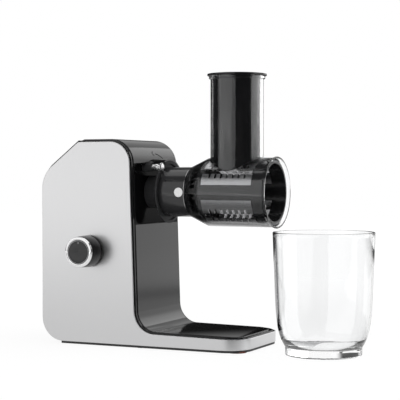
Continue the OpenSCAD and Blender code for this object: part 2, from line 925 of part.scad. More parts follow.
coupling_front = ring_x - 3.5;
module output_shaft() {
  color("silver") {
    along_x(output_at, rear_plate_back) cylinder(h = bearing_l + 1, d = rear_journal_d);
    along_x(output_at, rear_plate_back + bearing_l + 0.5)
      cylinder(h = third_x - rear_plate_back - bearing_l - 0.5, d = 15);
    along_x(output_at, third_x) hex_bar(output_af, third_w);
    along_x(output_at, third_x + third_w)
      cylinder(h = coupling_x - third_x - third_w - 0.5, d = front_journal_d);
    along_x(output_at, coupling_x - 1) hex_bar(end_af, 12);
  }
}
module drive_coupling() {
  color([0.25, 0.25, 0.26])
    difference() {
      on_drive(coupling_x) cylinder(h = coupling_front - coupling_x, d = coupling_d);
      on_drive(coupling_x - 1) hex_bar(end_af, 12);
      on_drive(coupling_front - socket_l) hex_bar(stub_af + stub_play, socket_l + 1);
    }
}
module output_bearings() {
  color("silver") {
    on_drive(rear_plate_back)
      ring(bearing_l, rear_bearing_d / 2, rear_journal_d / 2 + axle_play);
    on_drive(cover_front - bearing_l)
      ring(bearing_l, front_bearing_d / 2, front_journal_d / 2 + axle_play);
  }
}
bush_outer = 10;
bush_l = 5;
module idler_bushes() {
  color("goldenrod")
    for (p = [first_at, second_at]) {
      along_x(p, rear_plate_back)
        ring(rear_plate_t, bush_outer / 2, journal_d / 2 + axle_play);
      along_x(p, cover_front - bush_l)
        ring(bush_l, bush_outer / 2, journal_d / 2 + axle_play);
    }
}

// Gearbox halves
gearbox_wall = 2;
module gearbox_outline(grow) {
  y0 = gearbox_y0 - grow;
  y1 = gearbox_y1 + grow;
  z0 = gearbox_z0 - grow;
  z1 = gearbox_z1 + grow;
  r = 8 + grow;
  polygon(rounded([[y0, z0, r], [y1, z0, r], [y1, z1, r], [y0, z1, r]]));
}
module gearbox_block(x0, x1, grow) {
  translate([x0, 0, 0]) rotate([90, 0, 90]) linear_extrude(x1 - x0) gearbox_outline(grow);
}
module gearbox_rear() {
  color([0.6, 0.6, 0.62])
    difference() {
      union() {
        gearbox_block(rear_plate_back, rear_plate_front, 0);
        on_drive(rear_plate_front)
          cylinder(h = bearing_l - rear_plate_t, d = rear_bearing_d + 6);
      }
      on_drive(rear_plate_back - 1) cylinder(h = bearing_l + 2, d = rear_bearing_d);
      for (p = [first_at, second_at])
        along_x(p, rear_plate_back - 1) cylinder(h = rear_plate_t + 2, d = bush_outer);
      along_x(motor_at, rear_plate_back - 1) cylinder(h = rear_plate_t + 2, d = 9);
      for (p = boss_pts)
        along_x(p, rear_plate_back - 1)
          cylinder(h = rear_plate_t + 2, d = screw_d + 2 * fit);
    }
}
module gearbox_front() {
  color([0.6, 0.6, 0.62])
    difference() {
      union() {
        difference() {
          gearbox_block(rear_plate_front, cover_front, 0);
          gearbox_block(rear_plate_front - 1, cover_back, -gearbox_wall);
        }
        intersection() {
          gearbox_block(rear_plate_front, cover_front, 0);
          union() {
            for (p = boss_pts)
              along_x(p, rear_plate_front)
                cylinder(h = cover_front - rear_plate_front, d = pillar_d);
            on_drive(cover_front - bearing_l)
              cylinder(h = bearing_l, d = front_bearing_d + 6);
            for (p = [first_at, second_at])
              along_x(p, cover_front - bush_l) cylinder(h = bush_l, d = bush_outer + 5);
          }
        }
      }
      on_drive(cover_front - bearing_l - 1) cylinder(h = bearing_l + 2, d = front_bearing_d);
      for (p = [first_at, second_at])
        along_x(p, cover_front - bush_l - 1) cylinder(h = bush_l + 2, d = bush_outer);
      for (p = boss_pts)
        along_x(p, rear_plate_front - 1)
          cylinder(h = cover_front - rear_plate_front + 2, d = screw_d + 2 * fit);
    }
}
module gearbox_screws() {
  color("gray")
    for (p = boss_pts)
      along_x(p, rear_plate_back - screw_head_t)
        screw(screw_head_t + cover_front - rear_plate_back + 10);
}

// Motor
bell_t = 4;
can_front = rear_plate_back - bell_t;
can_back = can_front - motor_l;
can_wall = 2;
core_r = 17;
core_l = 20;
core_x = can_back + 11;
rotor_shaft_d = 6;
commutator_r = 8;
module on_motor(x) {
  along_x(motor_at, x) children();
}
module motor_can() {
  color("silver")
    on_motor(can_back) ring(motor_l, motor_d / 2, motor_d / 2 - can_wall);
}
module motor_front_bell() {
  color("gray")
    on_motor(can_front)
      difference() {
        union() {
          cylinder(h = bell_t, d = motor_d);
          translate([0, 0, -2]) cylinder(h = 2.5, r = motor_d / 2 - can_wall);
        }
        translate([0, 0, -3]) cylinder(h = bell_t + 4, r = rotor_shaft_d / 2 + axle_play);
      }
}
module motor_rear_bell() {
  color("gray")
    on_motor(can_back - bell_t)
      difference() {
        union() {
          cylinder(h = bell_t, d = motor_d);
          translate([0, 0, -2]) cylinder(h = 2.5, r = 9);
        }
        translate([0, 0, -3]) cylinder(h = bell_t + 4, r = rotor_shaft_d / 2 + axle_play);
      }
}
module motor_magnets() {
  color([0.3, 0.3, 0.32])
    on_motor(core_x - 2)
      intersection() {
        ring(core_l + 4, motor_d / 2 - can_wall, core_r + 1.5);
        for (a = [0, 180]) rotate([0, 0, a]) sector(motor_d, core_l + 4, -55, 55);
      }
}
module motor_brushes() {
  color([0.2, 0.2, 0.2])
    on_motor(can_back + 2)
      for (a = [90, 270])
        rotate([0, 0, a])
          translate([commutator_r + fit, -3, 0])
            cube([motor_d / 2 - can_wall - commutator_r - 0.6, 6, 4]);
}
module motor_cradle() {
  color([0.14, 0.14, 0.14])
    difference() {
      union() {
        translate([cradle_x - 1.5, -cradle_w, wrap_lift])
          cube([cradle_l, 2 * cradle_w, cradle_foot_t]);
        translate([cradle_x, -cradle_arm, wrap_lift])
          cube([cradle_t, 2 * cradle_arm, motor_at[1] - motor_d / 4 - wrap_lift]);
      }
      on_motor(cradle_x - 1) cylinder(h = cradle_t + 2, r = motor_d / 2 + seat_gap);
      for (y = [-1, 1])
        translate([cradle_mid, y * cradle_screw_y, wrap_lift - 1])
          cylinder(h = cradle_foot_t + 2, d = pillar_bore);
    }
}
cradle_x = low_seam_x + 4;
cradle_t = 8;
cradle_mid = cradle_x + cradle_t / 2;
cradle_l = 16;
cradle_w = 34;
cradle_arm = 22;
cradle_foot_t = 3;
cradle_screw_y = 28;
module motor_shaft() {
  color("silver") {
    on_motor(can_back - bell_t - 3)
      cylinder(h = rear_plate_front - can_back + bell_t + 3, d = rotor_shaft_d);
    on_motor(rear_plate_front - 1) hex_bar(motor_af, first_x + first_w - rear_plate_front + 1.5);
  }
}
module rotor_core() {
  color([0.45, 0.3, 0.2])
    on_motor(core_x) {
      difference() {
        cylinder(h = core_l, r = core_r);
        translate([0, 0, -1]) cylinder(h = core_l + 2, d = rotor_shaft_d);
        for (i = [0:9])
          rotate([0, 0, 36 * i])
            translate([9, -1.1, -1]) cube([10, 2.2, core_l + 2]);
      }
      for (z = [-3.5, core_l + 0.1])
        translate([0, 0, z]) ring(3.4, core_r - 3, rotor_shaft_d / 2 + 2);
    }
}
module commutator() {
  color("peru")
    on_motor(can_back + 1) ring(6, commutator_r, rotor_shaft_d / 2);
}
module motor_fan() {
  fan_r = motor_d / 2 - can_wall - 3;
  color([0.2, 0.2, 0.2])
    on_motor(core_x + core_l + 4) {
      ring(1, fan_r, rotor_shaft_d / 2);
      for (i = [0:8])
        rotate([0, 0, 40 * i]) translate([8, -0.6, 1]) cube([fan_r - 9, 1.2, 1.2]);
    }
}

// Control board, fixed to posts inside the rear cover
board_x = rear_x + wall + 9;
board_t = 1.6;
board_y = 40;
board_z0 = 138;
board_z1 = 184;
block_h = 8;
module control_board() {
  color("darkgreen")
    difference() {
      translate([board_x, -board_y, board_z0])
        cube([board_t, 2 * board_y, board_z1 - board_z0]);
      for (y = [-1, 1], z = [board_z0 + 5, board_z1 - 5])
        translate([board_x - 1, y * (board_y - 5), z])
          rotate([0, 90, 0]) cylinder(h = board_t + 2, d = 3);
    }
}
module board_parts() {
  x = board_x + board_t;
  color([0.25, 0.25, 0.3]) {
    for (y = [-30, 0, 30])
      translate([x, y - 7, board_z0 + 2]) cube([block_h, 14, 8]);
    translate([x, -22, board_z1 - 12]) rotate([0, 90, 0]) cylinder(h = 24, d = 15);
    translate([x, 4, board_z1 - 22]) cube([14, 20, 16]);
    for (y = [-1, 1], z = [board_z0 + 5, board_z1 - 5])
      translate([board_x - 9, y * (board_y - 5), z])
        rotate([0, 90, 0]) {
          cylinder(h = 9, d = 6);
          cylinder(h = 9 + board_t + 1, d = 2.8);
        }
  }
}
lead_r = 1.6;
// Points of the leads, each with its distance from the rear face first
lead_routes = [
  [[gland_l + 1, gland_y, gland_z], [18, gland_y + 1, gland_z + 1],
   [23, gland_y + 6, gland_z + 8], [24, 42, gland_z + 19], [24, 44, gland_z + 34], [24, 44, 100], [23, 42, 118], [21, 36, 130], [19, 31, 135], [18, 30, 139.5]],
  [[18, -30, 139.5], [19, -31, 135], [23, -36, 128], [30, -42, 120],
   [38, -46, 115], [44, -47, 112.5], [50, -47, 112]],
  [[18, 0, 139.5], [17.5, 0, 136], [16.5, 0, 132.5], [14.5, 0, 129.6]]
];
module internal_leads() {
  color("dimgray")
    for (route = lead_routes)
      wire([for (p = route) [rear_x + p[0], p[1], p[2]]], lead_r, 8);
}

// Drum and its hub
drum_back = barrel_x - 9;
drum_front = barrel_front + 1;
drum_r = drum_d / 2;
hub_flange_t = 3;
bore_r = 10;
web_x = collar_front - 14;
web_t = 6;
module drum_hub() {
  color([0.3, 0.3, 0.32]) {
    on_drive(coupling_front - socket_l + 0.5) hex_bar(stub_af, socket_l);
    on_drive(coupling_front) cylinder(h = web_x - 2 - coupling_front, r = 8);
    on_drive(web_x - 2) cylinder(h = drum_back - hub_flange_t - web_x + 2, r = bore_r);
    on_drive(drum_back - hub_flange_t) cylinder(h = hub_flange_t, r = 16);
    on_drive(drum_back) cylinder(h = 3, r = 8);
  }
}
window_x = barrel_x + 3;
module drum_body() {
  color([0.15, 0.15, 0.16])
    on_drive(0)
      difference() {
        rotate_extrude()
          polygon([
            [8, drum_back], [drum_r - 4, drum_back], [drum_r, drum_back + 8],
            [drum_r, drum_front], [drum_r - drum_wall, drum_front],
            [drum_r - drum_wall, drum_back + 9], [drum_r - 4 - drum_wall, drum_back + 3],
            [8, drum_back + 3]
          ]);
        for (i = [0:3])
          rotate([0, 0, 90 * i]) {
            translate([0, 0, window_x])
              intersection() {
                ring(window_l, drum_r + 1, drum_r - blade_t);
                sector(drum_d, window_l, rib_a, 90 - rib_a);
              }
            translate([0, 0, window_x + 1.5])
              intersection() {
                ring(window_l - 3, drum_r + 1, drum_r - drum_wall - 2);
                sector(drum_d, window_l - 3, rib_a + 2.5, 87.5 - rib_a);
              }
          }
      }
}
slot_pitch = window_l / (comb_slots + 1.5);
// A comb plate of the drum: its slots open at the edge at angle a_edge, and run towards way
module comb_plate(a0, a1, a_edge, way) {
  difference() {
    intersection() {
      ring(window_l, drum_r, drum_r - blade_t);
      sector(drum_d, window_l, a0, a1);
    }
    rotate([0, 0, a_edge])
      for (i = [0:comb_slots - 1])
        translate([drum_r - 3, 0, window_l / 2 + (i - (comb_slots - 1) / 2) * slot_pitch]) {
          translate([0, way > 0 ? -1 : slot_w / 2 - slot_l, -slot_w / 2])
            cube([6, slot_l - slot_w / 2 + 1, slot_w]);
          translate([0, way * (slot_l - slot_w / 2), 0])
            rotate([0, 90, 0]) cylinder(h = 6, d = slot_w);
        }
  }
}
module blade_pair(i) {
  color("lightgray")
    on_drive(window_x)
      rotate([0, 0, 90 * i]) {
        comb_plate(rib_a, gap_a0, gap_a0, -1);
        comb_plate(gap_a1, 90 - rib_a, gap_a1, 1);
      }
}
module blade_pair_1() { blade_pair(0); }
module blade_pair_2() { blade_pair(1); }
module blade_pair_3() { blade_pair(2); }
module blade_pair_4() { blade_pair(3); }

// Attachment
spigot_r = collar_d / 2 - 1.65;
spigot_l = 8;
dot_d = 11;
dot_t = 1.2;
// The shallow guide groove cut in the collar behind the dot
groove_in = 8;
groove_l = 10.5;
groove_w = 2.2;
groove_depth = 1.5;
groove_turn = 152;
module at_dot() {
  translate([collar_front - 7, 0, drive_z]) rotate([90, 0, 0]) children();
}
module bayonet_collar() {
  inner_r = collar_d / 2 - collar_wall;
  color([0.14, 0.14, 0.15])
    difference() {
      union() {
        on_drive(collar_x) ring(collar_front - collar_x, collar_d / 2, inner_r);
        on_drive(lug_x - lug_play / 2 - lug_t)
          intersection() {
            ring(lug_t, inner_r + 1, stub_r + lug_play);
            thirds(lug_turn) sector(ring_d, lug_t + 1, -lug_span / 2, lug_span / 2);
          }
        on_drive(web_x) ring(web_t, inner_r + 0.5, bore_r + axle_play);
        on_drive(collar_front - 2) ring(spigot_l + 2, spigot_r, spigot_r - 2.5);
      }
      at_dot() translate([0, 0, collar_d / 2 - dot_t]) cylinder(h = 5, d = dot_d);
      on_drive(collar_x + groove_in)
        rotate([0, 0, groove_turn])
          translate([collar_d / 2 - groove_depth, -groove_w / 2, 0])
            cube([groove_depth + 1, groove_w, groove_l]);
    }
}
module alignment_dot() {
  color("white")
    at_dot() translate([0, 0, collar_d / 2 - dot_t]) cylinder(h = dot_t, d = dot_d);
}
barrel_r = barrel_d / 2;
cone_r = collar_d / 2 + 0.75;
chute_r = chute_d / 2;
chute_wall = 2;
rim_h = 3.2;
module slicer_housing() {
  color([0.8, 0.85, 0.87, 0.35])
    difference() {
      union() {
        on_drive(0)
          rotate_extrude()
            polygon([
              [0, collar_front], [cone_r, collar_front], [barrel_r, barrel_x],
              [barrel_r, barrel_front], [rim_d / 2, barrel_front + flare_l],
              [rim_d / 2, housing_front], [0, housing_front]
            ]);
        translate([chute_x, 0, drive_z]) cylinder(h = chute_top - rim_h - drive_z, r = chute_r);
        translate([chute_x, 0, chute_top - rim_h]) cylinder(h = rim_h, d = chute_rim_d);
      }
      on_drive(0)
        rotate_extrude()
          polygon([
            [0, collar_front - 1], [spigot_r + fit, collar_front - 1],
            [spigot_r + fit, collar_front + 1.5], [barrel_r - clear_wall, barrel_x + 0.5],
            [barrel_r - clear_wall, barrel_front], [rim_d / 2 - 2, barrel_front + flare_l],
            [rim_d / 2 - 2, housing_front + 1], [0, housing_front + 1]
          ]);
      translate([chute_x, 0, drive_z + 5])
        cylinder(h = chute_top, r = chute_r - chute_wall);
    }
}

// Pusher, hollow and open on top, its foot hollowed to follow the drum
pusher_floor = 5;
saddle_r = drum_r + 1.5;
module pusher() {
  flange_z = chute_top + seat_gap;
  color([0.12, 0.12, 0.13])
    difference() {
      union() {
        translate([chute_x, 0, drive_z]) cylinder(h = flange_z - drive_z, d = pusher_d);
        translate([chute_x, 0, flange_z]) cylinder(h = flange_t, d = flange_d);
      }
      on_drive(chute_x - pusher_d) cylinder(h = 2 * pusher_d, r = saddle_r);
      translate([chute_x, 0, drive_z + saddle_r + pusher_floor])
        cylinder(h = chute_top, d = pusher_d - 2 * pusher_wall);
    }
}

// Jug: a thin wall with a foot ring, wider towards its rim
jug_x = housing_front + jug_gap + jug_d / 2;
function jug_r(z) =
  let (t = z / jug_h)
  jug_d / 2 - 1.9 * (1 - t) - 10.5 * pow(1 - t, 11);
jug_foot_r = 43;
jug_foot_h = 6;
jug_floor_t = 3;
module jug() {
  curve_z0 = 10;
  steps = 12;
  function level(i) = curve_z0 + (jug_h - curve_z0) * pow(i / steps, 1.8);
  color([0.85, 0.9, 0.92, 0.3])
    translate([jug_x, -jug_y, 0])
      rotate_extrude()
        polygon(concat(
          [[0, jug_foot_h], [jug_foot_r - 2.4, jug_foot_h], [jug_foot_r - 2, 0],
           [jug_foot_r, 0], [jug_foot_r + 0.8, jug_foot_h]],
          [for (i = [0:steps]) [jug_r(level(i)), level(i)]],
          [for (i = [steps:-1:0]) [jug_r(level(i)) - jug_wall, level(i) + (i == 0 ? 1.5 : 0)]],
          [[0, jug_foot_h + jug_floor_t]]));
}

steel_wrap();
front_casing();
rear_cover();
bottom_plate();
foot_front_near();
foot_front_far();
foot_rear_near();
foot_rear_far();
mount_flange();
flange_screws();
release_pin();
pin_spring();
shaft_seal();
knob_bezel();
knob_body();
knob_ring();
knob_face();
switch_shaft();
selector_switch();
gearbox_rear();
gearbox_front();
gearbox_screws();
output_bearings();
idler_bushes();
motor_can();
motor_front_bell();
motor_rear_bell();
motor_magnets();
motor_brushes();
motor_cradle();
motor_shaft();
rotor_core();
commutator();
motor_fan();
motor_pinion();
first_wheel();
second_pinion();
first_axle();
second_wheel();
third_pinion();
second_axle();
output_wheel();
output_shaft();
drive_coupling();
control_board();
board_parts();
internal_leads();
cord_gland();
casing_screws();
drum_hub();
drum_body();
blade_pair_1();
blade_pair_2();
blade_pair_3();
blade_pair_4();
bayonet_collar();
alignment_dot();
slicer_housing();
pusher();
jug();
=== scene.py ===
"""Looks of the electric vegetable slicer.

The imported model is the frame. This file gives each of its pieces a finish, makes the turned and moulded
parts that need softer edges as surfaces of their own, and sets the floor, the lamps and the camera.
Lengths are in metres and the axes are the model's: +X towards the tip of the base, -Y towards the knob.
"""

import json
import math

import bmesh
import bpy
import numpy as np
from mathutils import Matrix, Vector


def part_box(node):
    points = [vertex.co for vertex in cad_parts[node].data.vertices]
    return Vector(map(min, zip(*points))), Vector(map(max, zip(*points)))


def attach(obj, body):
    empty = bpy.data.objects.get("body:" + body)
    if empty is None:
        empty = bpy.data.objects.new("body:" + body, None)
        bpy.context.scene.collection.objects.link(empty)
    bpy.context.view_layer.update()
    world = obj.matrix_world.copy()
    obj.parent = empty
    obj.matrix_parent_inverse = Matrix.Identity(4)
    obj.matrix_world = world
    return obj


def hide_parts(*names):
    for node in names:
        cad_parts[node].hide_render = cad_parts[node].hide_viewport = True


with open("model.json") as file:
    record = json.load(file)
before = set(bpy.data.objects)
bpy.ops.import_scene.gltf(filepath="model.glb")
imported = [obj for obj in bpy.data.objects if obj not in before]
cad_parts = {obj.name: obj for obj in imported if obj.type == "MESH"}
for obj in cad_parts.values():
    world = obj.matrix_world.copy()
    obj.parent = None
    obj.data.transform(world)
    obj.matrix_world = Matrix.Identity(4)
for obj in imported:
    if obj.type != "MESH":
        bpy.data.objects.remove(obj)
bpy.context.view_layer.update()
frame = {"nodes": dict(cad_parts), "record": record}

bl_info = {
    "name": "Vegetable slicer looks",
    "version": (1, 0, 0),
    "blender": (4, 5, 0),
    "location": "3D View > Sidebar > Slicer",
    "description": "Finishes, fine parts and stage for the packed vegetable slicer",
    "category": "Object",
}

RECORD = frame["record"]
BODY_OF = {n: b for b, members in RECORD["behaviour"]["bodies"].items() for n in members}
SLOT_OF = {s["node"]: s["material_slot"] for s in RECORD["subparts"]}
DRIVE_Z = 0.1807
KNOB_AT = (-0.0655, -0.062, 0.1115)
PIN_AT = (0.0, -0.0197116, 0.2099236)
JUG_AT = (0.2094, -0.015, 0.0)
FOOTPRINT_MIDDLE = (0.08, 0.0, 0.0)
ARC_POINTS = 6

# Where a finish changes on one piece: the recess round the mount, whose coat is cut as painted shade, the
# mount ring, the pin's guide, the front edge of the collar, the part of the clear housing that stands round
# the drum, which gets painted shade on its walls, and its lit bands at the back of the cone and behind the
# drum, where the latter is left out near the drive's height.
RECESS = ((-0.02, -0.0056), (-0.0549, 0.0549), (0.143, 0.2145))
MOUNT_X = (-0.0147, 0.04)
RING_RADIUS = 0.0373
GUIDE_X = (-0.02, -0.002)
GUIDE_RADIUS = 0.0068
COLLAR_FRONT_X = (0.0413, 0.0424)
BARREL_TOP_Z = 0.2215
BARREL_FRONT_X = 0.1442
BARREL_INNER_RADIUS = 0.0391
CONE_BACK_X = (0.0489, 0.0508)
DRUM_BACK_X = (0.0634, 0.0648)
DRUM_BACK_OPENING = 0.024

# The casing's top curve, on which the turning mark is printed: its centre in X and Z, and its radius.
TOP_CURVE_AT = (-0.0385273, 0.214)
TOP_CURVE_RADIUS = 0.02903


# Settings


class SlicerSizes(bpy.types.PropertyGroup):
    """Sizes of the edges and of the fine parts"""

    casing_edge: bpy.props.FloatProperty(
        name="Casing edge", description="Radius of the black mouldings' edges",
        default=0.00025, min=0.0001, max=0.0003, unit="LENGTH")
    wrap_edge: bpy.props.FloatProperty(
        name="Wrap edge", description="Radius of the steel wrap's edges",
        default=0.0007, min=0.0001, max=0.0009, unit="LENGTH")
    attachment_edge: bpy.props.FloatProperty(
        name="Attachment edge", description="Radius of the edges on collar, drum and pusher",
        default=0.0005, min=0.0001, max=0.001, unit="LENGTH")
    housing_edge: bpy.props.FloatProperty(
        name="Housing edge", description="Radius of the clear housing's edges",
        default=0.0007, min=0.0001, max=0.0009, unit="LENGTH")
    jug_wall: bpy.props.FloatProperty(
        name="Jug wall", description="Thickness of the jug's wall",
        default=0.0017, min=0.001, max=0.003, unit="LENGTH")
    rib_depth: bpy.props.FloatProperty(
        name="Foot ribs", description="Depth of the ribs round each foot",
        default=0.0004, min=0.0001, max=0.0006, unit="LENGTH")
    mark_width: bpy.props.FloatProperty(
        name="Mark width", description="Width of the line of the turning mark",
        default=0.0011, min=0.0005, max=0.002, unit="LENGTH")


class SlicerColours(bpy.types.PropertyGroup):
    """Colours that more than one finish or piece takes up"""

    steel: bpy.props.FloatVectorProperty(
        name="Steel wrap", description="Colour of the brushed steel", subtype="COLOR",
        size=3, default=(0.66, 0.66, 0.665), min=0, max=1)
    black: bpy.props.FloatVectorProperty(
        name="Black gloss", description="Colour of the glossy mouldings", subtype="COLOR",
        size=3, default=(0.006, 0.006, 0.0065), min=0, max=1)
    dark: bpy.props.FloatVectorProperty(
        name="Dark plastic", description="Colour of the drum and collar", subtype="COLOR",
        size=3, default=(0.034, 0.034, 0.0355), min=0, max=1)
    rubber: bpy.props.FloatVectorProperty(
        name="Foot rubber", description="Colour of the feet", subtype="COLOR",
        size=3, default=(0.17, 0.055, 0.035), min=0, max=1)
    clear: bpy.props.FloatVectorProperty(
        name="Clear plastic", description="Tint of the clear housing and jug", subtype="COLOR",
        size=3, default=(0.995, 0.998, 1.0), min=0, max=1)


class SlicerStage(bpy.types.PropertyGroup):
    """Brightness of the lamps and length of the lens"""

    left: bpy.props.FloatProperty(
        name="Left softbox", description="Brightness of the softbox on the knob's side",
        default=1.02, min=0, max=10)
    right: bpy.props.FloatProperty(
        name="Right softbox", description="Brightness of the softbox before the tip",
        default=1.4, min=0, max=10)
    top: bpy.props.FloatProperty(
        name="Top softbox", description="Brightness of the softbox above, which the one behind follows",
        default=1.2, min=0, max=10)
    fill: bpy.props.FloatProperty(
        name="Fill", description="Even light from all round", default=0.3, min=0, max=2)
    lens: bpy.props.FloatProperty(
        name="Lens", description="Focal length on a 36 mm sensor, in millimetres",
        default=116.1, min=20, max=300)


# Surfaces


def grid_faces(rows, columns, wrap_rows, wrap_columns):
    """Each face joins a point, its neighbour in the row, and the two points after them in the next row."""
    i, j = np.meshgrid(
        np.arange(rows if wrap_rows else rows - 1),
        np.arange(columns if wrap_columns else columns - 1), indexing="ij")
    i, j = i.ravel(), j.ravel()
    right, below = (j + 1) % columns, (i + 1) % rows
    return np.stack([i * columns + j, i * columns + right, below * columns + right, below * columns + j], 1)


def piece(name, parts, body, slot, replaces=()):
    """Joins grids of points, each with its faces, into one closed mesh that rides on a body."""
    points, faces, start = [], [], 0
    for grid, quads in parts:
        points.append(grid.reshape(-1, 3))
        faces.append(quads + start)
        start += len(points[-1])
    mesh = bpy.data.meshes.new(name)
    mesh.from_pydata(np.concatenate(points).tolist(), [], np.concatenate(faces).tolist())
    shape = bmesh.new()
    shape.from_mesh(mesh)
    bmesh.ops.remove_doubles(shape, verts=shape.verts, dist=1e-7)
    bmesh.ops.dissolve_degenerate(shape, edges=shape.edges, dist=1e-8)
    bmesh.ops.recalc_face_normals(shape, faces=shape.faces)
    shape.to_mesh(mesh)
    shape.free()
    return place(name, mesh, body, slot, replaces)


def place(name, mesh, body, slot, replaces=(), sharp=40.0):
    """Puts a mesh into the scene as a smooth object with its slot's finish, riding on a body."""
    mesh.shade_smooth()
    mesh.set_sharp_from_angle(angle=math.radians(sharp))
    mesh.materials.clear()
    mesh.materials.append(bpy.data.materials[slot])
    made = bpy.data.objects.new(name, mesh)
    bpy.context.scene.collection.objects.link(made)
    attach(made, body)
    if replaces:
        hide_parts(*replaces)
    return made


def millimetres(values):
    """Numbers in millimetres as an array in metres."""
    return np.array(values) / 1000


def across(axis):
    """The axis at unit length, and two directions square to it and to each other."""
    axis = np.array(axis, float) / np.linalg.norm(axis)
    side = np.cross(axis, (0, 0, 1) if abs(axis[2]) < 0.9 else (1, 0, 0))
    side /= np.linalg.norm(side)
    return axis, side, np.cross(axis, side)


def softened(outline, radii):
    """Each corner becomes an arc that touches both its sides: its centre lies on the bisector at radius
    over the sine of the half angle, and its points turn evenly from one touching point to the other."""
    p = np.array(outline, float)
    r = np.broadcast_to(np.maximum(np.array(radii, float), 1e-7), len(p))[:, None]
    back, ahead = np.roll(p, 1, 0) - p, np.roll(p, -1, 0) - p
    back /= np.linalg.norm(back, axis=1, keepdims=True)
    ahead /= np.linalg.norm(ahead, axis=1, keepdims=True)
    half = np.arccos(np.clip((back * ahead).sum(1, keepdims=True), -0.99999, 0.99999)) / 2
    middle = back + ahead
    centre = p + middle / np.linalg.norm(middle, axis=1, keepdims=True) * r / np.sin(half)
    first = (p + back * r / np.tan(half) - centre) / r
    last = (p + ahead * r / np.tan(half) - centre) / r
    turn = np.pi - 2 * half
    t = np.linspace(0, 1, ARC_POINTS)[None, :, None]
    turn = turn[:, None, :]
    arc = (np.sin((1 - t) * turn) * first[:, None] + np.sin(t * turn) * last[:, None]) / np.sin(turn)
    return (centre[:, None] + r[:, None] * arc).reshape(-1, 2)


def turned(profile, at, axis, steps=96):
    """A closed profile of radius and height carried round the axis: a point stands at the axis point plus
    its height along the axis plus its radius times the cosine and sine of the turn in the cross plane."""
    axis, side, up = across(axis)
    profile = np.array(profile, float)
    turn = np.linspace(0, 2 * np.pi, steps, endpoint=False)[None, :, None]
    ring = np.cos(turn) * side + np.sin(turn) * up
    grid = np.array(at, float) + profile[:, 1, None, None] * axis + profile[:, 0, None, None] * ring
    return grid, grid_faces(len(profile), steps, True, True)


def soft_copy(node, radius, segments=3, sharp=30.0):
    """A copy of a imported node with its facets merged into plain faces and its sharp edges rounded."""
    shape = bmesh.new()
    shape.from_mesh(frame["nodes"][node].data)
    bmesh.ops.remove_doubles(shape, verts=shape.verts, dist=2e-6)
    bmesh.ops.dissolve_limit(
        shape, angle_limit=math.radians(0.5), use_dissolve_boundaries=False,
        verts=shape.verts, edges=shape.edges)
    mesh = bpy.data.meshes.new(node + "_soft")
    shape.to_mesh(mesh)
    shape.free()
    made = place(node + "_soft", mesh, BODY_OF[node], SLOT_OF[node], [node], sharp)
    edges = made.modifiers.new("edges", "BEVEL")
    edges.width = radius
    edges.segments = segments
    edges.limit_method = "ANGLE"
    edges.angle_limit = math.radians(sharp)
    edges.harden_normals = True
    edges.use_clamp_overlap = False
    return made


def dress(*nodes):
    """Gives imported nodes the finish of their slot."""
    for name in nodes:
        node = frame["nodes"][name]
        node.data.materials.clear()
        node.data.materials.append(bpy.data.materials[SLOT_OF[name]])


# Finishes


def add(tree, kind, settings=None, **inputs):
    """A shader node with its settings, and its inputs set to values or linked to sockets."""
    made = tree.nodes.new(kind)
    for name, value in (settings or {}).items():
        setattr(made, name, value)
    for name, value in inputs.items():
        numbered = name[0] == "i" and name[1:].isdigit()
        socket = made.inputs[int(name[1:]) if numbered else name.replace("_", " ")]
        if isinstance(value, bpy.types.NodeSocket):
            tree.links.new(value, socket)
        else:
            socket.default_value = value
    return made


def maths(tree, operation, *values):
    """The result of a maths node on numbers or sockets."""
    made = tree.nodes.new("ShaderNodeMath")
    made.operation = operation
    for socket, value in zip(made.inputs, values):
        if isinstance(value, bpy.types.NodeSocket):
            tree.links.new(value, socket)
        else:
            socket.default_value = value
    return made.outputs[0]


def product(tree, first, *others):
    """The values multiplied one after the other."""
    for value in others:
        first = maths(tree, "MULTIPLY", first, value)
    return first


def blend(tree, share, first, second):
    """A number that goes from the first to the second with the share."""
    return add(tree, "ShaderNodeMix", {"data_type": "FLOAT"}, i0=share, i2=first, i3=second).outputs[0]


def blend_colour(tree, share, first, second):
    """A colour that goes from the first to the second with the share."""
    made = add(tree, "ShaderNodeMix", {"data_type": "RGBA"}, i0=share)
    made.inputs[6].default_value = (*first, 1)
    made.inputs[7].default_value = (*second, 1)
    return made.outputs[2]


def blend_shaders(tree, share, first, second):
    """A shader that goes from the first to the second with the share."""
    made = add(tree, "ShaderNodeMixShader", None, i0=share)
    tree.links.new(first.outputs[0], made.inputs[1])
    tree.links.new(second.outputs[0], made.inputs[2])
    return made


def eased_step(tree, value, low, high, at_low=0.0, at_high=1.0):
    """A soft step from one level to another between two values."""
    return add(tree, "ShaderNodeMapRange", {"interpolation_type": "SMOOTHSTEP"}, i0=value, i1=low, i2=high,
               i3=at_low, i4=at_high).outputs[0]


def within(tree, value, low, high):
    """One where the value lies between the two, and zero elsewhere."""
    return product(tree, maths(tree, "GREATER_THAN", value, low), maths(tree, "LESS_THAN", value, high))


def how_far(tree, where, at):
    """How far a point lies from another."""
    away = add(tree, "ShaderNodeVectorMath", {"operation": "SUBTRACT"}, i0=where, i1=at)
    return add(tree, "ShaderNodeVectorMath", {"operation": "LENGTH"}, i0=away.outputs[0]).outputs["Value"]


def off_axis(tree, where, at):
    """The distance from a line along X through a point."""
    flat = add(tree, "ShaderNodeVectorMath", {"operation": "MULTIPLY"}, i0=where, i1=(0, 1, 1))
    return how_far(tree, flat.outputs[0], (0, at[1], at[2]))


def object_place(tree):
    """The point in object coordinates, which are the model's, as every object stands at the origin."""
    return add(tree, "ShaderNodeTexCoord").outputs["Object"]


def show(tree, shader, kind="ShaderNodeOutputMaterial"):
    """Links a shader to the surface of the tree's output."""
    tree.links.new(shader.outputs[0], add(tree, kind).inputs["Surface"])


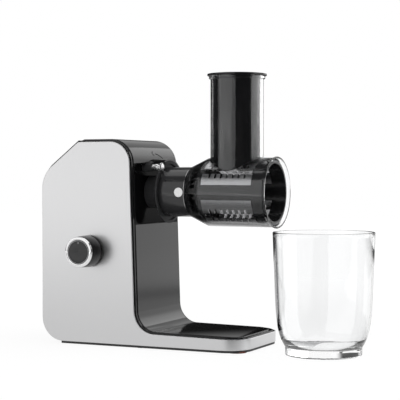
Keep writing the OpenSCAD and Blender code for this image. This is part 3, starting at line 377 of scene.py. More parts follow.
def mirror_coat(shader, rough):
    """A coat strong enough to mirror the lamps, for edges that catch the light."""
    shader.inputs["Coat IOR"].default_value = 4.0
    shader.inputs["Coat Roughness"].default_value = rough


def new_group(name, inputs, outputs):
    """A shader node group with its sockets, and its input and output nodes."""
    tree = bpy.data.node_groups.new(name, "ShaderNodeTree")
    for label, kind, value in inputs:
        socket = tree.interface.new_socket(name=label, in_out="INPUT", socket_type=kind)
        if value is not None:
            socket.default_value = value
    for label, kind in outputs:
        tree.interface.new_socket(name=label, in_out="OUTPUT", socket_type=kind)
    return tree, tree.nodes.new("NodeGroupInput").outputs, tree.nodes.new("NodeGroupOutput")


SKIN_OUTPUTS = [
    ("Colour", "NodeSocketColor"), ("Roughness", "NodeSocketFloat"), ("Height", "NodeSocketFloat")]


def skin_outputs(tree, given, out, shade_noise, rough_noise, height):
    """Colour times one plus the tint's noise, roughness plus the spread's noise, and the height."""
    lighter = maths(tree, "SUBTRACT", shade_noise, 0.5)
    rougher = maths(tree, "SUBTRACT", rough_noise, 0.5)
    shade = maths(tree, "MULTIPLY_ADD", lighter, given["Tint"], 1.0)
    colour = add(tree, "ShaderNodeVectorMath", {"operation": "SCALE"}, i0=given["Colour"], Scale=shade)
    rough = maths(tree, "MULTIPLY_ADD", rougher, given["Spread"], given["Roughness"])
    clamp = add(tree, "ShaderNodeClamp", None, Value=rough, Min=0.02, Max=1.0)
    tree.links.new(colour.outputs[0], out.inputs["Colour"])
    tree.links.new(clamp.outputs[0], out.inputs["Roughness"])
    tree.links.new(height, out.inputs["Height"])


def noise(tree, vector, scale, detail=2.0, rough=0.5):
    """A noise between zero and one, with its scale in cycles per metre."""
    return add(tree, "ShaderNodeTexNoise", None, Vector=vector, Scale=scale, Detail=detail,
               Roughness=rough).outputs[0]


def moulded_skin():
    """Moulded plastic: a fine even grain, and broad faint smears where it was handled."""
    tree, given, out = new_group("Moulded skin", [
        ("Vector", "NodeSocketVector", None), ("Grain", "NodeSocketFloat", 2500.0),
        ("Colour", "NodeSocketColor", (0.02, 0.02, 0.02, 1)), ("Tint", "NodeSocketFloat", 0.1),
        ("Roughness", "NodeSocketFloat", 0.3), ("Spread", "NodeSocketFloat", 0.05)], SKIN_OUTPUTS)
    fine = noise(tree, given["Vector"], given["Grain"], 3.0, 0.6)
    broad = noise(tree, given["Vector"], 22.0, 4.0, 0.6)
    patch = noise(tree, given["Vector"], 60.0, 2.0)
    mixed = maths(tree, "MULTIPLY_ADD", fine, 0.5, maths(tree, "MULTIPLY", broad, 0.5))
    skin_outputs(tree, given, out, patch, mixed, fine)
    return tree


def brushed_skin():
    """Brushed metal: hair lines drawn out along one way, in a broad soft cloud."""
    tree, given, out = new_group("Brushed skin", [
        ("Vector", "NodeSocketVector", None), ("Stretch", "NodeSocketVector", (60.0, 2500.0, 2500.0)),
        ("Colour", "NodeSocketColor", (0.6, 0.6, 0.6, 1)), ("Tint", "NodeSocketFloat", 0.1),
        ("Roughness", "NodeSocketFloat", 0.3), ("Spread", "NodeSocketFloat", 0.1)], SKIN_OUTPUTS)
    drawn = add(tree, "ShaderNodeVectorMath", {"operation": "MULTIPLY"},
                i0=given["Vector"], i1=given["Stretch"])
    hair = noise(tree, drawn.outputs[0], 1.0, 3.0, 0.65)
    cloud = noise(tree, given["Vector"], 12.0, 3.0)
    shade = maths(tree, "MULTIPLY_ADD", hair, 0.7, maths(tree, "MULTIPLY", cloud, 0.3))
    skin_outputs(tree, given, out, shade, hair, hair)
    return tree


def cast_skin():
    """Cast or sintered metal and rubber: pits from small cells over a soft grain."""
    tree, given, out = new_group("Cast skin", [
        ("Vector", "NodeSocketVector", None), ("Grain", "NodeSocketFloat", 1200.0),
        ("Colour", "NodeSocketColor", (0.3, 0.3, 0.3, 1)), ("Tint", "NodeSocketFloat", 0.2),
        ("Roughness", "NodeSocketFloat", 0.5), ("Spread", "NodeSocketFloat", 0.2)], SKIN_OUTPUTS)
    cells = add(tree, "ShaderNodeTexVoronoi", None, Vector=given["Vector"], Scale=given["Grain"])
    soft = noise(tree, given["Vector"], 150.0, 4.0, 0.6)
    height = maths(tree, "MULTIPLY_ADD", cells.outputs["Distance"], 0.6, maths(tree, "MULTIPLY", soft, 0.4))
    skin_outputs(tree, given, out, soft, height, height)
    return tree


GROUPS = {}


def emptied(slot):
    """The node tree of the slot's own material, or of a new one, with nothing in it."""
    material = bpy.data.materials.get(slot) or bpy.data.materials.new(slot)
    material.use_nodes = True
    material.node_tree.nodes.clear()
    return material.node_tree


def finish(slot, skin, colour, rough, metallic=0.0, ior=1.46, bump=0.05, depth=0.0001, **values):
    """A finish: a skin group feeds colour, roughness and a bump, and plain numbers stay on the shader.
    Gives back the tree, the group's node and the shader, for finishes that add to them."""
    if skin not in GROUPS:
        GROUPS[skin] = {"moulded": moulded_skin, "brushed": brushed_skin, "cast": cast_skin}[skin]()
    tree = emptied(slot)
    group = add(tree, "ShaderNodeGroup", {"node_tree": GROUPS[skin]}, Vector=object_place(tree),
                Colour=(*colour, 1), Roughness=rough, **values)
    relief = add(tree, "ShaderNodeBump", None, Strength=bump, Distance=depth, Height=group.outputs["Height"])
    shader = add(tree, "ShaderNodeBsdfPrincipled", None, Metallic=metallic, IOR=ior,
                 Base_Color=group.outputs["Colour"], Roughness=group.outputs["Roughness"],
                 Normal=relief.outputs[0])
    show(tree, shader)
    return tree, group, shader


def casing_finish(slot, colour, mount_colour, rough):
    """The casing's gloss black lies in its coat, which is cut down in the recess round the mount as painted
    shade, so that the recess mirrors little light. The mount and the guide of its pin are a satin dark grey."""
    tree, group, shader = finish(slot, "moulded", colour, rough, ior=1.02, bump=0.02, depth=0.00003,
                                 Grain=900.0, Tint=0.1, Spread=0.05)
    where = object_place(tree)
    x, y, z = add(tree, "ShaderNodeSeparateXYZ", None, Vector=where).outputs
    recess = product(tree, *[within(tree, value, *span) for value, span in zip((x, y, z), RECESS)])
    ring = maths(tree, "LESS_THAN", off_axis(tree, where, (0, 0, DRIVE_Z)), RING_RADIUS)
    guide = product(tree, maths(tree, "LESS_THAN", off_axis(tree, where, PIN_AT), GUIDE_RADIUS),
                    within(tree, x, *GUIDE_X))
    mount = product(tree, maths(tree, "MAXIMUM", ring, guide), within(tree, x, *MOUNT_X))
    tree.links.new(blend_colour(tree, mount, colour, mount_colour), group.inputs["Colour"])
    # Painted shade: the coat is cut in the recess round the mount, so that the recess mirrors little light;
    # on the mount it is cut because that plastic is satin.
    plain = maths(tree, "MAXIMUM", recess, mount)
    tree.links.new(maths(tree, "MULTIPLY_ADD", plain, -0.85, 1.0), shader.inputs["Coat Weight"])
    shader.inputs["Coat Roughness"].default_value = rough
    shader.inputs["Coat IOR"].default_value = 1.46


def collar_finish(slot, colour):
    """The collar's satin black, with a narrow band at its front edge that mirrors the lamps."""
    tree, _, shader = finish(slot, "moulded", colour, 0.16, bump=0.04, depth=0.00005, Grain=2400.0,
                             Tint=0.1, Spread=0.08)
    x = add(tree, "ShaderNodeSeparateXYZ", None, Vector=object_place(tree)).outputs["X"]
    tree.links.new(within(tree, x, *COLLAR_FRONT_X), shader.inputs["Coat Weight"])
    mirror_coat(shader, 0.15)


def clear_finish(slot, tint, edge, rough, ior, edge_from, edge_to, swell, wider, barrel=False):
    """Clear plastic: it lets light through, its colour darkens where it is seen edge on, as painted shade
    for its dark edges, and lamps shine through it onto what it covers. The painted dark edge is wider on the
    jug's side towards the machine and, with the barrel's extras, round the drum. There the wall behind the
    drum is painted dark as painted shade, since the drum leaves it no light, and narrow bands at the back of
    the cone and behind the drum mirror the lamps."""
    tree = emptied(slot)
    where = object_place(tree)
    facing = add(tree, "ShaderNodeLayerWeight", None, Blend=0.5).outputs["Facing"]
    x, _, z = add(tree, "ShaderNodeSeparateXYZ", None, Vector=where).outputs
    around = product(tree, maths(tree, "LESS_THAN", z, BARREL_TOP_Z),
                     maths(tree, "LESS_THAN", x, BARREL_FRONT_X))
    wide = product(tree, around if barrel else maths(tree, "LESS_THAN", x, JUG_AT[0]), wider)
    # Painted shade: the colour goes to the dark edge colour where the wall is seen edge on, sooner on the
    # side towards the machine and round the drum.
    painted_shade = eased_step(tree, maths(tree, "ADD", facing, wide), edge_from, edge_to)
    rays = add(tree, "ShaderNodeLightPath")
    if barrel:
        inner = maths(tree, "LESS_THAN", off_axis(tree, where, (0, 0, DRIVE_Z)), BARREL_INNER_RADIUS)
        front = maths(tree, "SUBTRACT", 1.0, add(tree, "ShaderNodeNewGeometry").outputs["Backfacing"])
        direct = maths(tree, "LESS_THAN", rays.outputs["Glossy Depth"], 0.5)
        # Painted shade: the wall behind the drum takes the dark edge colour for rays that were not mirrored.
        painted_shade = maths(tree, "MAXIMUM", painted_shade, product(tree, inner, front, around, direct, 0.97))
    smear = noise(tree, where, 40.0, 3.0, 0.6)
    roughness = maths(tree, "MULTIPLY_ADD", smear, rough, rough * 0.5)
    swirl = noise(tree, where, 55.0, 2.0)
    relief = add(tree, "ShaderNodeBump", None, Strength=0.03, Distance=swell, Height=swirl)
    shader = add(tree, "ShaderNodeBsdfPrincipled", None, Base_Color=blend_colour(tree, painted_shade, tint, edge),
                 Roughness=roughness, Normal=relief.outputs[0], IOR=ior, Metallic=0.0)
    shader.inputs["Transmission Weight"].default_value = 1.0
    if barrel:
        away = maths(tree, "ABSOLUTE", maths(tree, "SUBTRACT", z, DRIVE_Z))
        back = product(tree, within(tree, x, *DRUM_BACK_X),
                       maths(tree, "GREATER_THAN", away, DRUM_BACK_OPENING))
        bands = maths(tree, "MAXIMUM", within(tree, x, *CONE_BACK_X), back)
        tree.links.new(product(tree, bands, around), shader.inputs["Coat Weight"])
        mirror_coat(shader, 0.12)
    through = add(tree, "ShaderNodeBsdfTransparent", None, Color=(0.96, 0.97, 0.975, 1))
    soft = maths(tree, "MAXIMUM", rays.outputs["Is Shadow Ray"], rays.outputs["Is Diffuse Ray"])
    show(tree, blend_shaders(tree, soft, shader, through))


def make_finishes(colours):
    """Every finish of the machine. Brushed ones are drawn out along X, along Z or square to X."""
    black, dark = colours.black, colours.dark
    along_x, along_z = (60.0, 2600.0, 2600.0), (2600.0, 2600.0, 60.0)
    layered, grooved = (1600.0, 90.0, 90.0), (2400.0, 60.0, 60.0)
    finish("brushed_wrap", "brushed", colours.steel, 0.31, metallic=1.0, bump=0.05, depth=0.00005,
           Stretch=along_z, Tint=0.05, Spread=0.06)
    casing_finish("black_gloss", black, (0.05, 0.05, 0.052), 0.1)
    finish("black_matte", "moulded", (0.018, 0.018, 0.018), 0.5, bump=0.3, Grain=2200.0, Tint=0.1,
           Spread=0.1)
    finish("foot_rubber", "cast", colours.rubber, 0.7, bump=0.2, Grain=2400.0, Tint=0.3, Spread=0.15)
    finish("screw_steel", "brushed", (0.42, 0.42, 0.43), 0.32, metallic=1.0, bump=0.06, Stretch=along_x)
    finish("pin_chrome", "brushed", (0.93, 0.93, 0.935), 0.26, metallic=1.0, bump=0.01, Stretch=along_x,
           Tint=0.03, Spread=0.05)
    finish("spring_steel", "brushed", (0.5, 0.5, 0.52), 0.3, metallic=1.0, bump=0.05, Stretch=along_x)
    finish("seal_rubber", "cast", (0.02, 0.02, 0.02), 0.65, bump=0.15, Grain=3000.0)
    finish("knob_black", "moulded", (0.008, 0.008, 0.0085), 0.22, bump=0.04, depth=0.00004, Grain=2600.0,
           Tint=0.1, Spread=0.06)
    finish("knob_chrome", "brushed", (0.9, 0.9, 0.905), 0.07, metallic=1.0, bump=0.01, Stretch=along_z,
           Tint=0.03, Spread=0.04)
    finish("knob_dark", "moulded", (0.022, 0.022, 0.023), 0.24, bump=0.05, depth=0.00003, Grain=3000.0,
           Tint=0.1, Spread=0.06)
    finish("shaft_steel", "brushed", (0.56, 0.56, 0.58), 0.22, metallic=1.0, bump=0.04, Stretch=along_x)
    finish("switch_plastic", "moulded", (0.03, 0.03, 0.032), 0.45, bump=0.2, Grain=2000.0)
    finish("cast_aluminium", "cast", (0.55, 0.56, 0.57), 0.42, metallic=1.0, bump=0.25, Grain=900.0,
           Tint=0.12)
    finish("bearing_steel", "brushed", (0.62, 0.62, 0.64), 0.2, metallic=1.0, bump=0.03, Stretch=along_x)
    finish("bush_brass", "cast", (0.62, 0.40, 0.16), 0.36, metallic=1.0, bump=0.15, Grain=2200.0)
    finish("can_steel", "brushed", (0.5, 0.5, 0.5), 0.34, metallic=1.0, bump=0.05, Stretch=along_x)
    finish("magnet_ferrite", "cast", (0.05, 0.05, 0.055), 0.6, bump=0.25, Grain=1600.0)
    finish("brush_carbon", "cast", (0.02, 0.02, 0.02), 0.55, bump=0.2, Grain=2600.0)
    finish("rotor_steel", "brushed", (0.30, 0.17, 0.10), 0.38, metallic=1.0, bump=0.2, Stretch=layered)
    finish("commutator_brass", "brushed", (0.62, 0.30, 0.14), 0.28, metallic=1.0, bump=0.06, Stretch=grooved)
    finish("fan_plastic", "moulded", (0.02, 0.02, 0.02), 0.45, bump=0.2)
    finish("gear_steel", "cast", (0.42, 0.42, 0.44), 0.35, metallic=1.0, bump=0.12, Grain=2600.0, Tint=0.12)
    finish("gear_nylon", "moulded", (0.70, 0.66, 0.53), 0.42, bump=0.1, Grain=1500.0)
    finish("coupling_grey", "moulded", (0.05, 0.05, 0.053), 0.35, bump=0.1, Grain=2000.0)
    finish("board_green", "moulded", (0.012, 0.09, 0.03), 0.3, bump=0.08, Grain=1200.0, Tint=0.3)
    finish("board_dark", "moulded", (0.035, 0.035, 0.05), 0.38, bump=0.1, Grain=1800.0)
    finish("lead_rubber", "moulded", (0.04, 0.04, 0.04), 0.5, bump=0.08, Grain=2200.0)
    finish("hub_grey", "moulded", dark, 0.35, bump=0.1, Grain=2000.0)
    finish("drum_black", "moulded", [0.4 * c for c in dark], 0.16, ior=1.37, bump=0.04, depth=0.00005,
           Grain=2200.0, Tint=0.1, Spread=0.08)
    finish("blade_steel", "brushed", (0.39, 0.39, 0.4), 0.28, metallic=1.0, bump=0.05, depth=0.00004,
           Stretch=along_x, Tint=0.08, Spread=0.08)
    collar_finish("collar_black", dark)
    finish("dot_white", "moulded", (1.0, 1.0, 1.0), 0.3, bump=0.03, Grain=2600.0, Tint=0.03, Spread=0.04)
    finish("pusher_black", "moulded", black, 0.1, bump=0.02, depth=0.00003, Grain=1200.0, Tint=0.1,
           Spread=0.04)
    finish("mark_grey", "moulded", (0.004, 0.004, 0.004), 0.6, ior=1.05, bump=0.05, Grain=2600.0)
    # The second colour of each clear finish is the painted shade at its edges.
    clear_finish("clear_plastic", colours.clear, (0.02, 0.02, 0.022), 0.02, ior=1.37, edge_from=0.72,
                 edge_to=0.98, swell=0.001, wider=0.28, barrel=True)
    clear_finish("jug_clear", colours.clear, (0.05, 0.05, 0.055), 0.01, ior=1.49, edge_from=0.78,
                 edge_to=0.97, swell=0.0001, wider=0.2)


# Pieces


class SLICER_OT_finishes(bpy.types.Operator):
    """Makes every finish of the machine"""

    bl_idname = "slicer.finishes"
    bl_label = "Make the finishes"

    def execute(self, context):
        make_finishes(context.scene.slicer_colours)
        return {"FINISHED"}


class SLICER_OT_casing(bpy.types.Operator):
    """Rounds the edges of the steel wrap, the black casings and the mount ring, and finishes them"""

    bl_idname = "slicer.casing"
    bl_label = "Dress the casing"

    def execute(self, context):
        sizes = context.scene.slicer_sizes
        soft_copy("steel_wrap", sizes.wrap_edge)
        for node in ("front_casing", "rear_cover", "mount_flange"):
            soft_copy(node, sizes.casing_edge)
        dress("bottom_plate", "cord_gland")
        return {"FINISHED"}


class SLICER_OT_drive(bpy.types.Operator):
    """Finishes the motor, the gears, the switch and the board inside the column"""

    bl_idname = "slicer.drive"
    bl_label = "Dress the drive"

    def execute(self, context):
        dress(
            "flange_screws", "shaft_seal", "switch_shaft", "selector_switch", "gearbox_rear",
            "gearbox_front", "gearbox_screws", "output_bearings", "idler_bushes", "motor_can",
            "motor_front_bell", "motor_rear_bell", "motor_magnets", "motor_brushes", "motor_cradle",
            "motor_shaft", "rotor_core", "commutator", "motor_fan", "motor_pinion", "first_wheel",
            "second_pinion", "first_axle", "second_wheel", "third_pinion", "second_axle",
            "output_wheel", "output_shaft", "drive_coupling", "control_board", "board_parts",
            "internal_leads", "casing_screws", "pin_spring")
        return {"FINISHED"}


class SLICER_OT_knob(bpy.types.Operator):
    """Turns the knob: its collar on the panel, body, chrome rim, and cap with inlay and pointer"""

    bl_idname = "slicer.knob"
    bl_label = "Build the knob"

    def execute(self, context):
        self.ring("knob_collar", [(8.5, 0), (16.7, 0), (16.7, 3.5), (8.5, 3.5)], [0, 0, 0.5, 0.3],
                  "black_gloss", "knob_bezel")
        self.ring("knob_grip", [
            (0, 19), (3, 19), (3, 4), (5.5, 4), (5.5, 21), (14.3, 21), (14.3, 4), (18.7, 4), (18.0, 21.9),
            (17.3, 22.1), (17.3, 23), (14.3, 23), (14.3, 24.4), (0, 24.4)],
            [0, 0, 0, 0, 0, 0, 0, 0.8, 0.5, 0.1, 0, 0, 0.1, 0], "knob_black", "knob_body")
        self.ring("knob_rim", [
            (14.35, 23.05), (17.6, 23.05), (17.9, 23.5), (17.9, 24.2), (17.3, 25.2), (15.5, 25.85),
            (15.3, 25.5), (14.35, 25.3)],
            [0, 0.2, 0.2, 0.3, 0.6, 0.1, 0.08, 0.1], "knob_chrome", "knob_ring")
        self.ring("knob_cap", [
            (0, 24.42), (14.15, 24.42), (14.15, 25.1), (13.9, 25.2), (13.7, 24.8), (13.4, 24.8),
            (12.9, 25.4), (12.75, 25.0), (12.5, 25.0), (12.3, 25.3), (0, 25.3)],
            [0, 0, 0.1, 0.1, 0.1, 0.1, 0.1, 0.05, 0.05, 0.1, 0], "knob_dark", "knob_face")
        profile = softened(
            millimetres([(12.95, 25.2), (13.6, 25.2), (13.5, 25.5), (13.05, 25.5)]), [0.0001] * 4)
        piece("knob_inlay", [turned(profile, KNOB_AT, (0, -1, 0))], BODY_OF["knob_face"], "screw_steel")
        self.pointer()
        return {"FINISHED"}

    def ring(self, name, outline, radii, slot, replaces):
        """An outline in millimetres of radius and height from the panel, turned about the knob's axis."""
        profile = softened(millimetres(outline), millimetres(radii))
        piece(name, [turned(profile, KNOB_AT, (0, -1, 0))], BODY_OF[replaces], slot, [replaces])

    def pointer(self):
        """A thin box on the cap: its four corners in X and Z, once on the cap and once just above it."""
        corners = millimetres([(-0.3, 0), (0.3, 0), (0.3, 2.2), (-0.3, 2.2)])
        cap, start, thickness = 0.02531, 0.0098, 0.00015
        low = np.stack([
            KNOB_AT[0] + corners[:, 0], np.full(4, KNOB_AT[1] - cap), KNOB_AT[2] + start + corners[:, 1]], 1)
        grid = np.stack([low, low - [0, thickness, 0]])
        faces = np.concatenate([grid_faces(2, 4, False, True), [[3, 2, 1, 0], [4, 5, 6, 7]]])
        piece("knob_pointer", [(grid, faces)], BODY_OF["knob_face"], "screw_steel")


class SLICER_OT_pin(bpy.types.Operator):
    """Turns the chrome release pin with its waisted head"""

    bl_idname = "slicer.pin"
    bl_label = "Build the release pin"

    def execute(self, context):
        outline = millimetres([
            (0, -20.9), (4.5, -20.9), (4.5, -19.1), (3.5, -19.1), (3.5, 1.4), (4.1, 2.0), (4.1, 4.6),
            (3.0, 5.0), (2.7, 5.8), (3.4, 6.4), (5.5, 8.3), (5.5, 9.2), (4.3, 10.1), (0, 10.1)])
        radii = millimetres([0, 0.2, 0.2, 0, 0, 0.2, 0.6, 0.3, 0.3, 0.3, 0.4, 0.5, 0.5, 0])
        piece("release_pin_turned", [turned(softened(outline, radii), PIN_AT, (1, 0, 0), 64)],
              BODY_OF["release_pin"], "pin_chrome", ["release_pin"])
        return {"FINISHED"}


class SLICER_OT_feet(bpy.types.Operator):
    """Turns the four rubber feet with ribs round their edge"""

    bl_idname = "slicer.feet"
    bl_label = "Build the feet"

    def execute(self, context):
        for node in ("foot_front_near", "foot_front_far", "foot_rear_near", "foot_rear_far"):
            self.ribbed(node, context.scene.slicer_sizes.rib_depth)
        return {"FINISHED"}

    def ribbed(self, node, depth, ribs=48, steps=240):
        """A turned foot whose outer points dip towards its axis, by half the depth times one less the
        cosine of the turn times the number of ribs."""
        low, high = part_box(node)
        centre = (low + high) / 2
        radius, height = (high.x - low.x) / 2, high.z
        outline = np.array([
            (0, 0.0003), (radius * 0.55, 0.0003), (radius * 0.6, 0), (radius - 0.0008, 0), (radius, 0.0006),
            (radius, height), (0, height)])
        profile = softened(outline, [0, 0.0002, 0.0002, 0.0004, 0.0003, 0.0001, 0])
        grid, faces = turned(profile, (centre.x, centre.y, 0), (0, 0, 1), steps)
        turn = np.linspace(0, 2 * np.pi, steps, endpoint=False)
        reach = np.linalg.norm(grid[:, :, :2] - [centre.x, centre.y], axis=2, keepdims=True)
        dip = depth * (0.5 - 0.5 * np.cos(ribs * turn))[None, :, None] * (reach > radius * 0.9)
        out = (grid[:, :, :2] - [centre.x, centre.y]) / np.maximum(reach, 1e-9)
        grid[:, :, :2] -= out * dip
        piece(node + "_ribbed", [(grid, faces)], BODY_OF[node], "foot_rubber", [node])


class SLICER_OT_attachment(bpy.types.Operator):
    """Rounds and finishes the collar, the drum, its comb plates, the pusher and the clear housing"""

    bl_idname = "slicer.attachment"
    bl_label = "Dress the attachment"

    def execute(self, context):
        sizes = context.scene.slicer_sizes
        for node in ("bayonet_collar", "drum_body", "pusher"):
            soft_copy(node, sizes.attachment_edge)
        dress("drum_hub", "blade_pair_1", "blade_pair_2", "blade_pair_3", "blade_pair_4")
        soft_copy("slicer_housing", sizes.housing_edge, sharp=25.0, segments=2)
        low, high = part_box("alignment_dot")
        centre = (low + high) / 2
        radius = (high.x - low.x) / 2
        outline = [(0, -0.0006), (radius, -0.0006), (radius, 0.0006), (0, 0.0007)]
        button = turned(softened(outline, [0, 0, 0.0004, 0]), (centre.x, centre.y, centre.z), (0, -1, 0), 64)
        piece("alignment_button", [button], BODY_OF["alignment_dot"], "dot_white", ["alignment_dot"])
        return {"FINISHED"}


class SLICER_OT_jug(bpy.types.Operator):
    """Turns the clear jug with its rounded lip and foot ring"""

    bl_idname = "slicer.jug"
    bl_label = "Build the jug"

    def execute(self, context):
        # The wall's heights crowd towards the foot, by a power of 1.6. The lip is half an ellipse: the
        # wall's middle plus half its thickness times the cosine of the turn, and the rise times its sine.
        # The inner wall gives up its lowest points to the arc that bends it into the floor.
        wall = context.scene.slicer_sizes.jug_wall
        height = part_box("jug")[1].z
        foot_top, lip_rise, below_floor = 0.0095, 0.001, 9
        z = foot_top + (height - lip_rise - foot_top) * np.linspace(0, 1, 48) ** 1.6
        outer = self.wall_radius(1 - z / height)
        turn = np.linspace(0, np.pi, 9)[1:-1]
        lip = np.stack([
            outer[-1] - wall / 2 + wall / 2 * np.cos(turn), z[-1] + lip_rise * np.sin(turn)], 1)
        foot = softened(
            millimetres([(38.0, 1.2), (40.4, 1.0), (41.0, 0.0), (43.0, 0.0), (43.2, 6.9), (43.3, 8.6)]),
            [0.0, 0.0002, 0.0004, 0.0008, 0.0006, 0.0])
        outside = np.stack([outer, z], 1)
        inside = np.stack([outer - wall, z], 1)[::-1]
        floor = softened(millimetres([(44.5, 15.0), (39.0, 10.2), (0.0, 10.0)]), [0.001, 0.003, 0.0])
        flat = np.array([0.0, 0.0004, 0.02, 0.034])
        under = np.stack([flat, np.full(4, 0.0012)], 1)
        above = np.stack([flat[::-1], np.full(4, 0.0101)], 1)
        inside = inside[:-below_floor]
        bend = floor[ARC_POINTS:-ARC_POINTS]
        profile = np.concatenate([under, foot, outside, lip, inside, bend, above])
        piece("jug_turned", [turned(profile, JUG_AT, (0, 0, 1), 160)], BODY_OF["jug"], "jug_clear", ["jug"])
        return {"FINISHED"}

    def wall_radius(self, below):
        """The outer radius at a share of the height below the rim: the rim's radius, less a straight taper
        in the share, less a curve in its power of 8.6 that draws the wall in above the foot."""
        return 0.0573 - 0.0050 * below - 0.01685 * below ** 8.6


class SLICER_OT_mark(bpy.types.Operator):
    """Prints a plain curved arrow on the casing's top curve, for the way in which the attachment turns"""

    bl_idname = "slicer.mark"
    bl_label = "Print the turning mark"

    def execute(self, context):
        half = 0.5 * context.scene.slicer_sizes.mark_width / TOP_CURVE_RADIUS
        band = np.linspace(-half, half, 3)[None, :]
        line = np.linspace(0, 1, 24)[:, None]
        arm = np.linspace(0, 1, 8)[:, None]
        strips = [
            self.strip(25.0 - 4.0 * line - 9.0 * line**2, 0.0045 + 0.0175 * line, band),
            self.strip(26.0 + 6.0 * arm, -0.0035 + 0.0040 * arm, band),
            self.strip(26.0 - 5.5 * arm, -0.0035 + 0.0040 * arm, band),
        ]
        mark = piece("turning_mark", strips, BODY_OF["front_casing"], "mark_grey")
        mark.modifiers.new("print", "SOLIDIFY").thickness = 0.00006
        return {"FINISHED"}

    def strip(self, degrees, y, band):
        """A strip on the casing's top curve: a point stands at the curve's centre plus its radius times the
        cosine and sine of the angle, which the band widens, and at a distance across the casing."""
        angle = np.radians(degrees) + band
        grid = np.stack([
            TOP_CURVE_AT[0] + TOP_CURVE_RADIUS * np.cos(angle), y + 0 * band,
            TOP_CURVE_AT[1] + TOP_CURVE_RADIUS * np.sin(angle)], -1)
        return grid, grid_faces(len(grid), band.size, False, False)


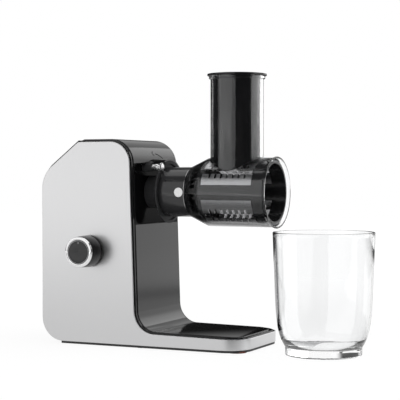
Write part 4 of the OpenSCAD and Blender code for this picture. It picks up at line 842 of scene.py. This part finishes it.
class SLICER_OT_stage(bpy.types.Operator):
    """Sets the floor, the lamps, the surroundings and the camera"""

    bl_idname = "slicer.stage"
    bl_label = "Set the stage"

    def execute(self, context):
        settings = context.scene.slicer_stage
        self.floor()
        self.lamps(settings)
        self.surroundings(context.scene, settings)
        self.camera(context.scene, settings)
        context.scene.view_settings.view_transform = "Standard"
        return {"FINISHED"}

    def floor(self):
        """A flat square, with its points on a grid at height zero. It is lit as it is, and its own white is
        added for the camera, for rays straight through the clear walls and for bent rays, which find painted
        shade in places. The white is full away from the machine's shadow."""
        tree = emptied("pale_floor")
        rays = add(tree, "ShaderNodeLightPath").outputs
        where = object_place(tree)
        turns = maths(tree, "ADD", rays["Glossy Depth"], rays["Diffuse Depth"])
        straight = product(tree, rays["Is Transmission Ray"], maths(tree, "LESS_THAN", turns, 0.5))
        seen = maths(tree, "MAXIMUM", rays["Is Camera Ray"], straight)
        bent = maths(tree, "MAXIMUM", rays["Is Glossy Ray"], rays["Is Transmission Ray"])
        reach = how_far(tree, where, FOOTPRINT_MIDDLE)
        clear = eased_step(tree, reach, 0.3, 1.0, 0.86, 1.0)
        shade = maths(tree, "MULTIPLY_ADD", noise(tree, where, 30.0, 3.0), 0.03, 0.8)
        colour = add(tree, "ShaderNodeCombineColor", None, Red=shade, Green=shade, Blue=shade)
        plain = add(tree, "ShaderNodeBsdfDiffuse", None, Color=colour.outputs[0])
        strength = blend(tree, seen, self.mirrored_floor_shade(tree, rays, where, reach), 1.06)
        white = add(tree, "ShaderNodeEmission", None, Color=(1, 1, 1, 1), Strength=strength)
        show(tree, blend_shaders(tree, blend(tree, seen, bent, clear), plain, white))
        x, y = np.meshgrid(np.linspace(-4, 4, 9), np.linspace(-4, 4, 9), indexing="ij")
        grid = np.stack([x, y, np.zeros_like(x)], -1)
        mesh = bpy.data.meshes.new("floor")
        mesh.from_pydata(grid.reshape(-1, 3).tolist(), [], grid_faces(9, 9, False, False).tolist())
        mesh.materials.append(bpy.data.materials["pale_floor"])
        made = bpy.data.objects.new("floor", mesh)
        bpy.context.scene.collection.objects.link(made)

    def mirrored_floor_shade(self, tree, rays, where, reach):
        """How bright bent rays find the floor: painted shade on it. It is a little darker before the machine
        than behind it, and much darker in three places: just before the machine, for rays that were mirrored
        and went through a clear wall; on the camera's side of the tip; and far behind, since a lamp doesn't
        hide from mirrored rays what stands behind it."""
        x, y, _ = add(tree, "ShaderNodeSeparateXYZ", None, Vector=where).outputs
        before = product(tree, eased_step(tree, y, -0.4, -0.2), eased_step(tree, y, 0.0, 0.15, 1.0, 0.0))
        cased = product(tree, maths(tree, "GREATER_THAN", rays["Transmission Depth"], 0.5),
                        maths(tree, "GREATER_THAN", rays["Glossy Depth"], 0.5))
        tip = product(tree, eased_step(tree, x, 0.08, 0.2), eased_step(tree, y, -0.2, -0.08, 1.0, 0.0))
        far = product(tree, eased_step(tree, reach, 1.2, 1.5), eased_step(tree, y, 0.5, 1.0))
        # Painted shade: darker before the machine than behind it, then much darker in the three places.
        level = eased_step(tree, y, -0.05, 0.12, 0.8, 0.95)
        for share, loss in ((product(tree, before, cased), -0.8), (tip, -0.85), (far, -0.9)):
            level = product(tree, level, maths(tree, "MULTIPLY_ADD", share, loss, 1.0))
        return level

    def lamps(self, settings):
        """Four softboxes that face a point in the machine. Each is given by its azimuth and elevation in
        degrees, its distance, its size and its radiance, from which follows the lamp's power."""
        centre = Vector((0.07, 0.0, 0.17))
        boxes = [
            ("softbox_left", -118.0, 18.0, 1.5, (2.7, 1.4), settings.left),
            ("softbox_right", 22.0, 14.0, 1.5, (1.3, 1.5), settings.right),
            ("softbox_tip", 70.0, 10.0, 1.6, (1.15, 1.3), 0.9 * settings.top),
            ("softbox_top", 80.0, 82.0, 1.6, (2.2, 1.4), settings.top),
        ]
        for name, azimuth, elevation, distance, size, radiance in boxes:
            a, e = math.radians(azimuth), math.radians(elevation)
            away = Vector((math.cos(a) * math.cos(e), math.sin(a) * math.cos(e), math.sin(e)))
            light = bpy.data.lights.new(name, "AREA")
            light.shape = "RECTANGLE"
            light.size, light.size_y = size
            light.energy = radiance * math.pi * size[0] * size[1]
            lamp = bpy.data.objects.new(name, light)
            lamp.location = centre + away * distance
            lamp.rotation_euler = away.to_track_quat("Z", "Y").to_euler()
            lamp.visible_camera = False
            bpy.context.scene.collection.objects.link(lamp)

    def surroundings(self, scene, settings):
        """White for the camera and an even fill for lighting. Bent rays find a bright backdrop behind the
        machine and darkness elsewhere, and mirrored ones find the backdrop bright only from above the
        machine's height."""
        world = bpy.data.worlds.new("surroundings")
        scene.world = world
        world.use_nodes = True
        tree = world.node_tree
        tree.nodes.clear()
        rays = add(tree, "ShaderNodeLightPath").outputs
        way = add(tree, "ShaderNodeTexCoord").outputs["Generated"]
        behind = add(tree, "ShaderNodeVectorMath", {"operation": "DOT_PRODUCT"},
                     i0=way, i1=(0.087, 0.996, 0.0))
        height = add(tree, "ShaderNodeSeparateXYZ", None, Vector=way).outputs["Z"]
        wide = eased_step(tree, behind.outputs["Value"], 0.7, 0.8, 0.05, 1.0)
        high = eased_step(tree, height, 0.16, 0.36, 0.004, 0.62)
        backdrop = product(tree, wide, blend(tree, rays["Is Transmission Ray"], high, 1.0))
        bent = maths(tree, "MAXIMUM", rays["Is Glossy Ray"], rays["Is Transmission Ray"])
        around = blend(tree, bent, settings.fill, backdrop)
        strength = blend(tree, rays["Is Camera Ray"], around, 1.0)
        show(tree, add(tree, "ShaderNodeBackground", None, Color=(1, 1, 1, 1), Strength=strength),
             "ShaderNodeOutputWorld")

    def camera(self, scene, settings):
        """The camera at the place, turn and pitch that the vanishing points gave."""
        data = bpy.data.cameras.new("camera")
        data.lens = settings.lens
        data.sensor_width = 36.0
        data.clip_end = 30.0
        made = bpy.data.objects.new("camera", data)
        made.location = (0.6949, -1.3796, 0.2030)
        yaw, pitch = math.radians(25.07), math.radians(1.19)
        ahead = Vector((-math.sin(yaw) * math.cos(pitch), math.cos(yaw) * math.cos(pitch), -math.sin(pitch)))
        made.rotation_euler = ahead.to_track_quat("-Z", "Y").to_euler()
        scene.collection.objects.link(made)
        scene.camera = made


class SLICER_PT_panel(bpy.types.Panel):
    """Lists the settings and the steps"""

    bl_label = "Vegetable slicer"
    bl_idname = "SLICER_PT_panel"
    bl_space_type = "VIEW_3D"
    bl_region_type = "UI"
    bl_category = "Slicer"

    def draw(self, context):
        for name, group in SETTINGS:
            box = self.layout.box()
            for value in group.__annotations__:
                box.prop(getattr(context.scene, name), value)
        for step in STEPS:
            self.layout.operator(step.bl_idname)


STEPS = (
    SLICER_OT_finishes, SLICER_OT_casing, SLICER_OT_drive, SLICER_OT_knob, SLICER_OT_pin, SLICER_OT_feet,
    SLICER_OT_attachment, SLICER_OT_jug, SLICER_OT_mark, SLICER_OT_stage,
)
SETTINGS = (
    ("slicer_sizes", SlicerSizes), ("slicer_colours", SlicerColours), ("slicer_stage", SlicerStage),
)


def register():
    """Registers the settings, the steps and the panel."""
    for name, group in SETTINGS:
        bpy.utils.register_class(group)
        setattr(bpy.types.Scene, name, bpy.props.PointerProperty(type=group))
    for made in (*STEPS, SLICER_PT_panel):
        bpy.utils.register_class(made)


def unregister():
    """Takes them away in the opposite order."""
    for made in (SLICER_PT_panel, *reversed(STEPS)):
        bpy.utils.unregister_class(made)
    for name, group in reversed(SETTINGS):
        delattr(bpy.types.Scene, name)
        bpy.utils.unregister_class(group)


def main():
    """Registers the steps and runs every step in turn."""
    register()
    for step in STEPS:
        space, name = step.bl_idname.split(".")
        getattr(getattr(bpy.ops, space), name)()


if __name__ == "__main__":
    main()
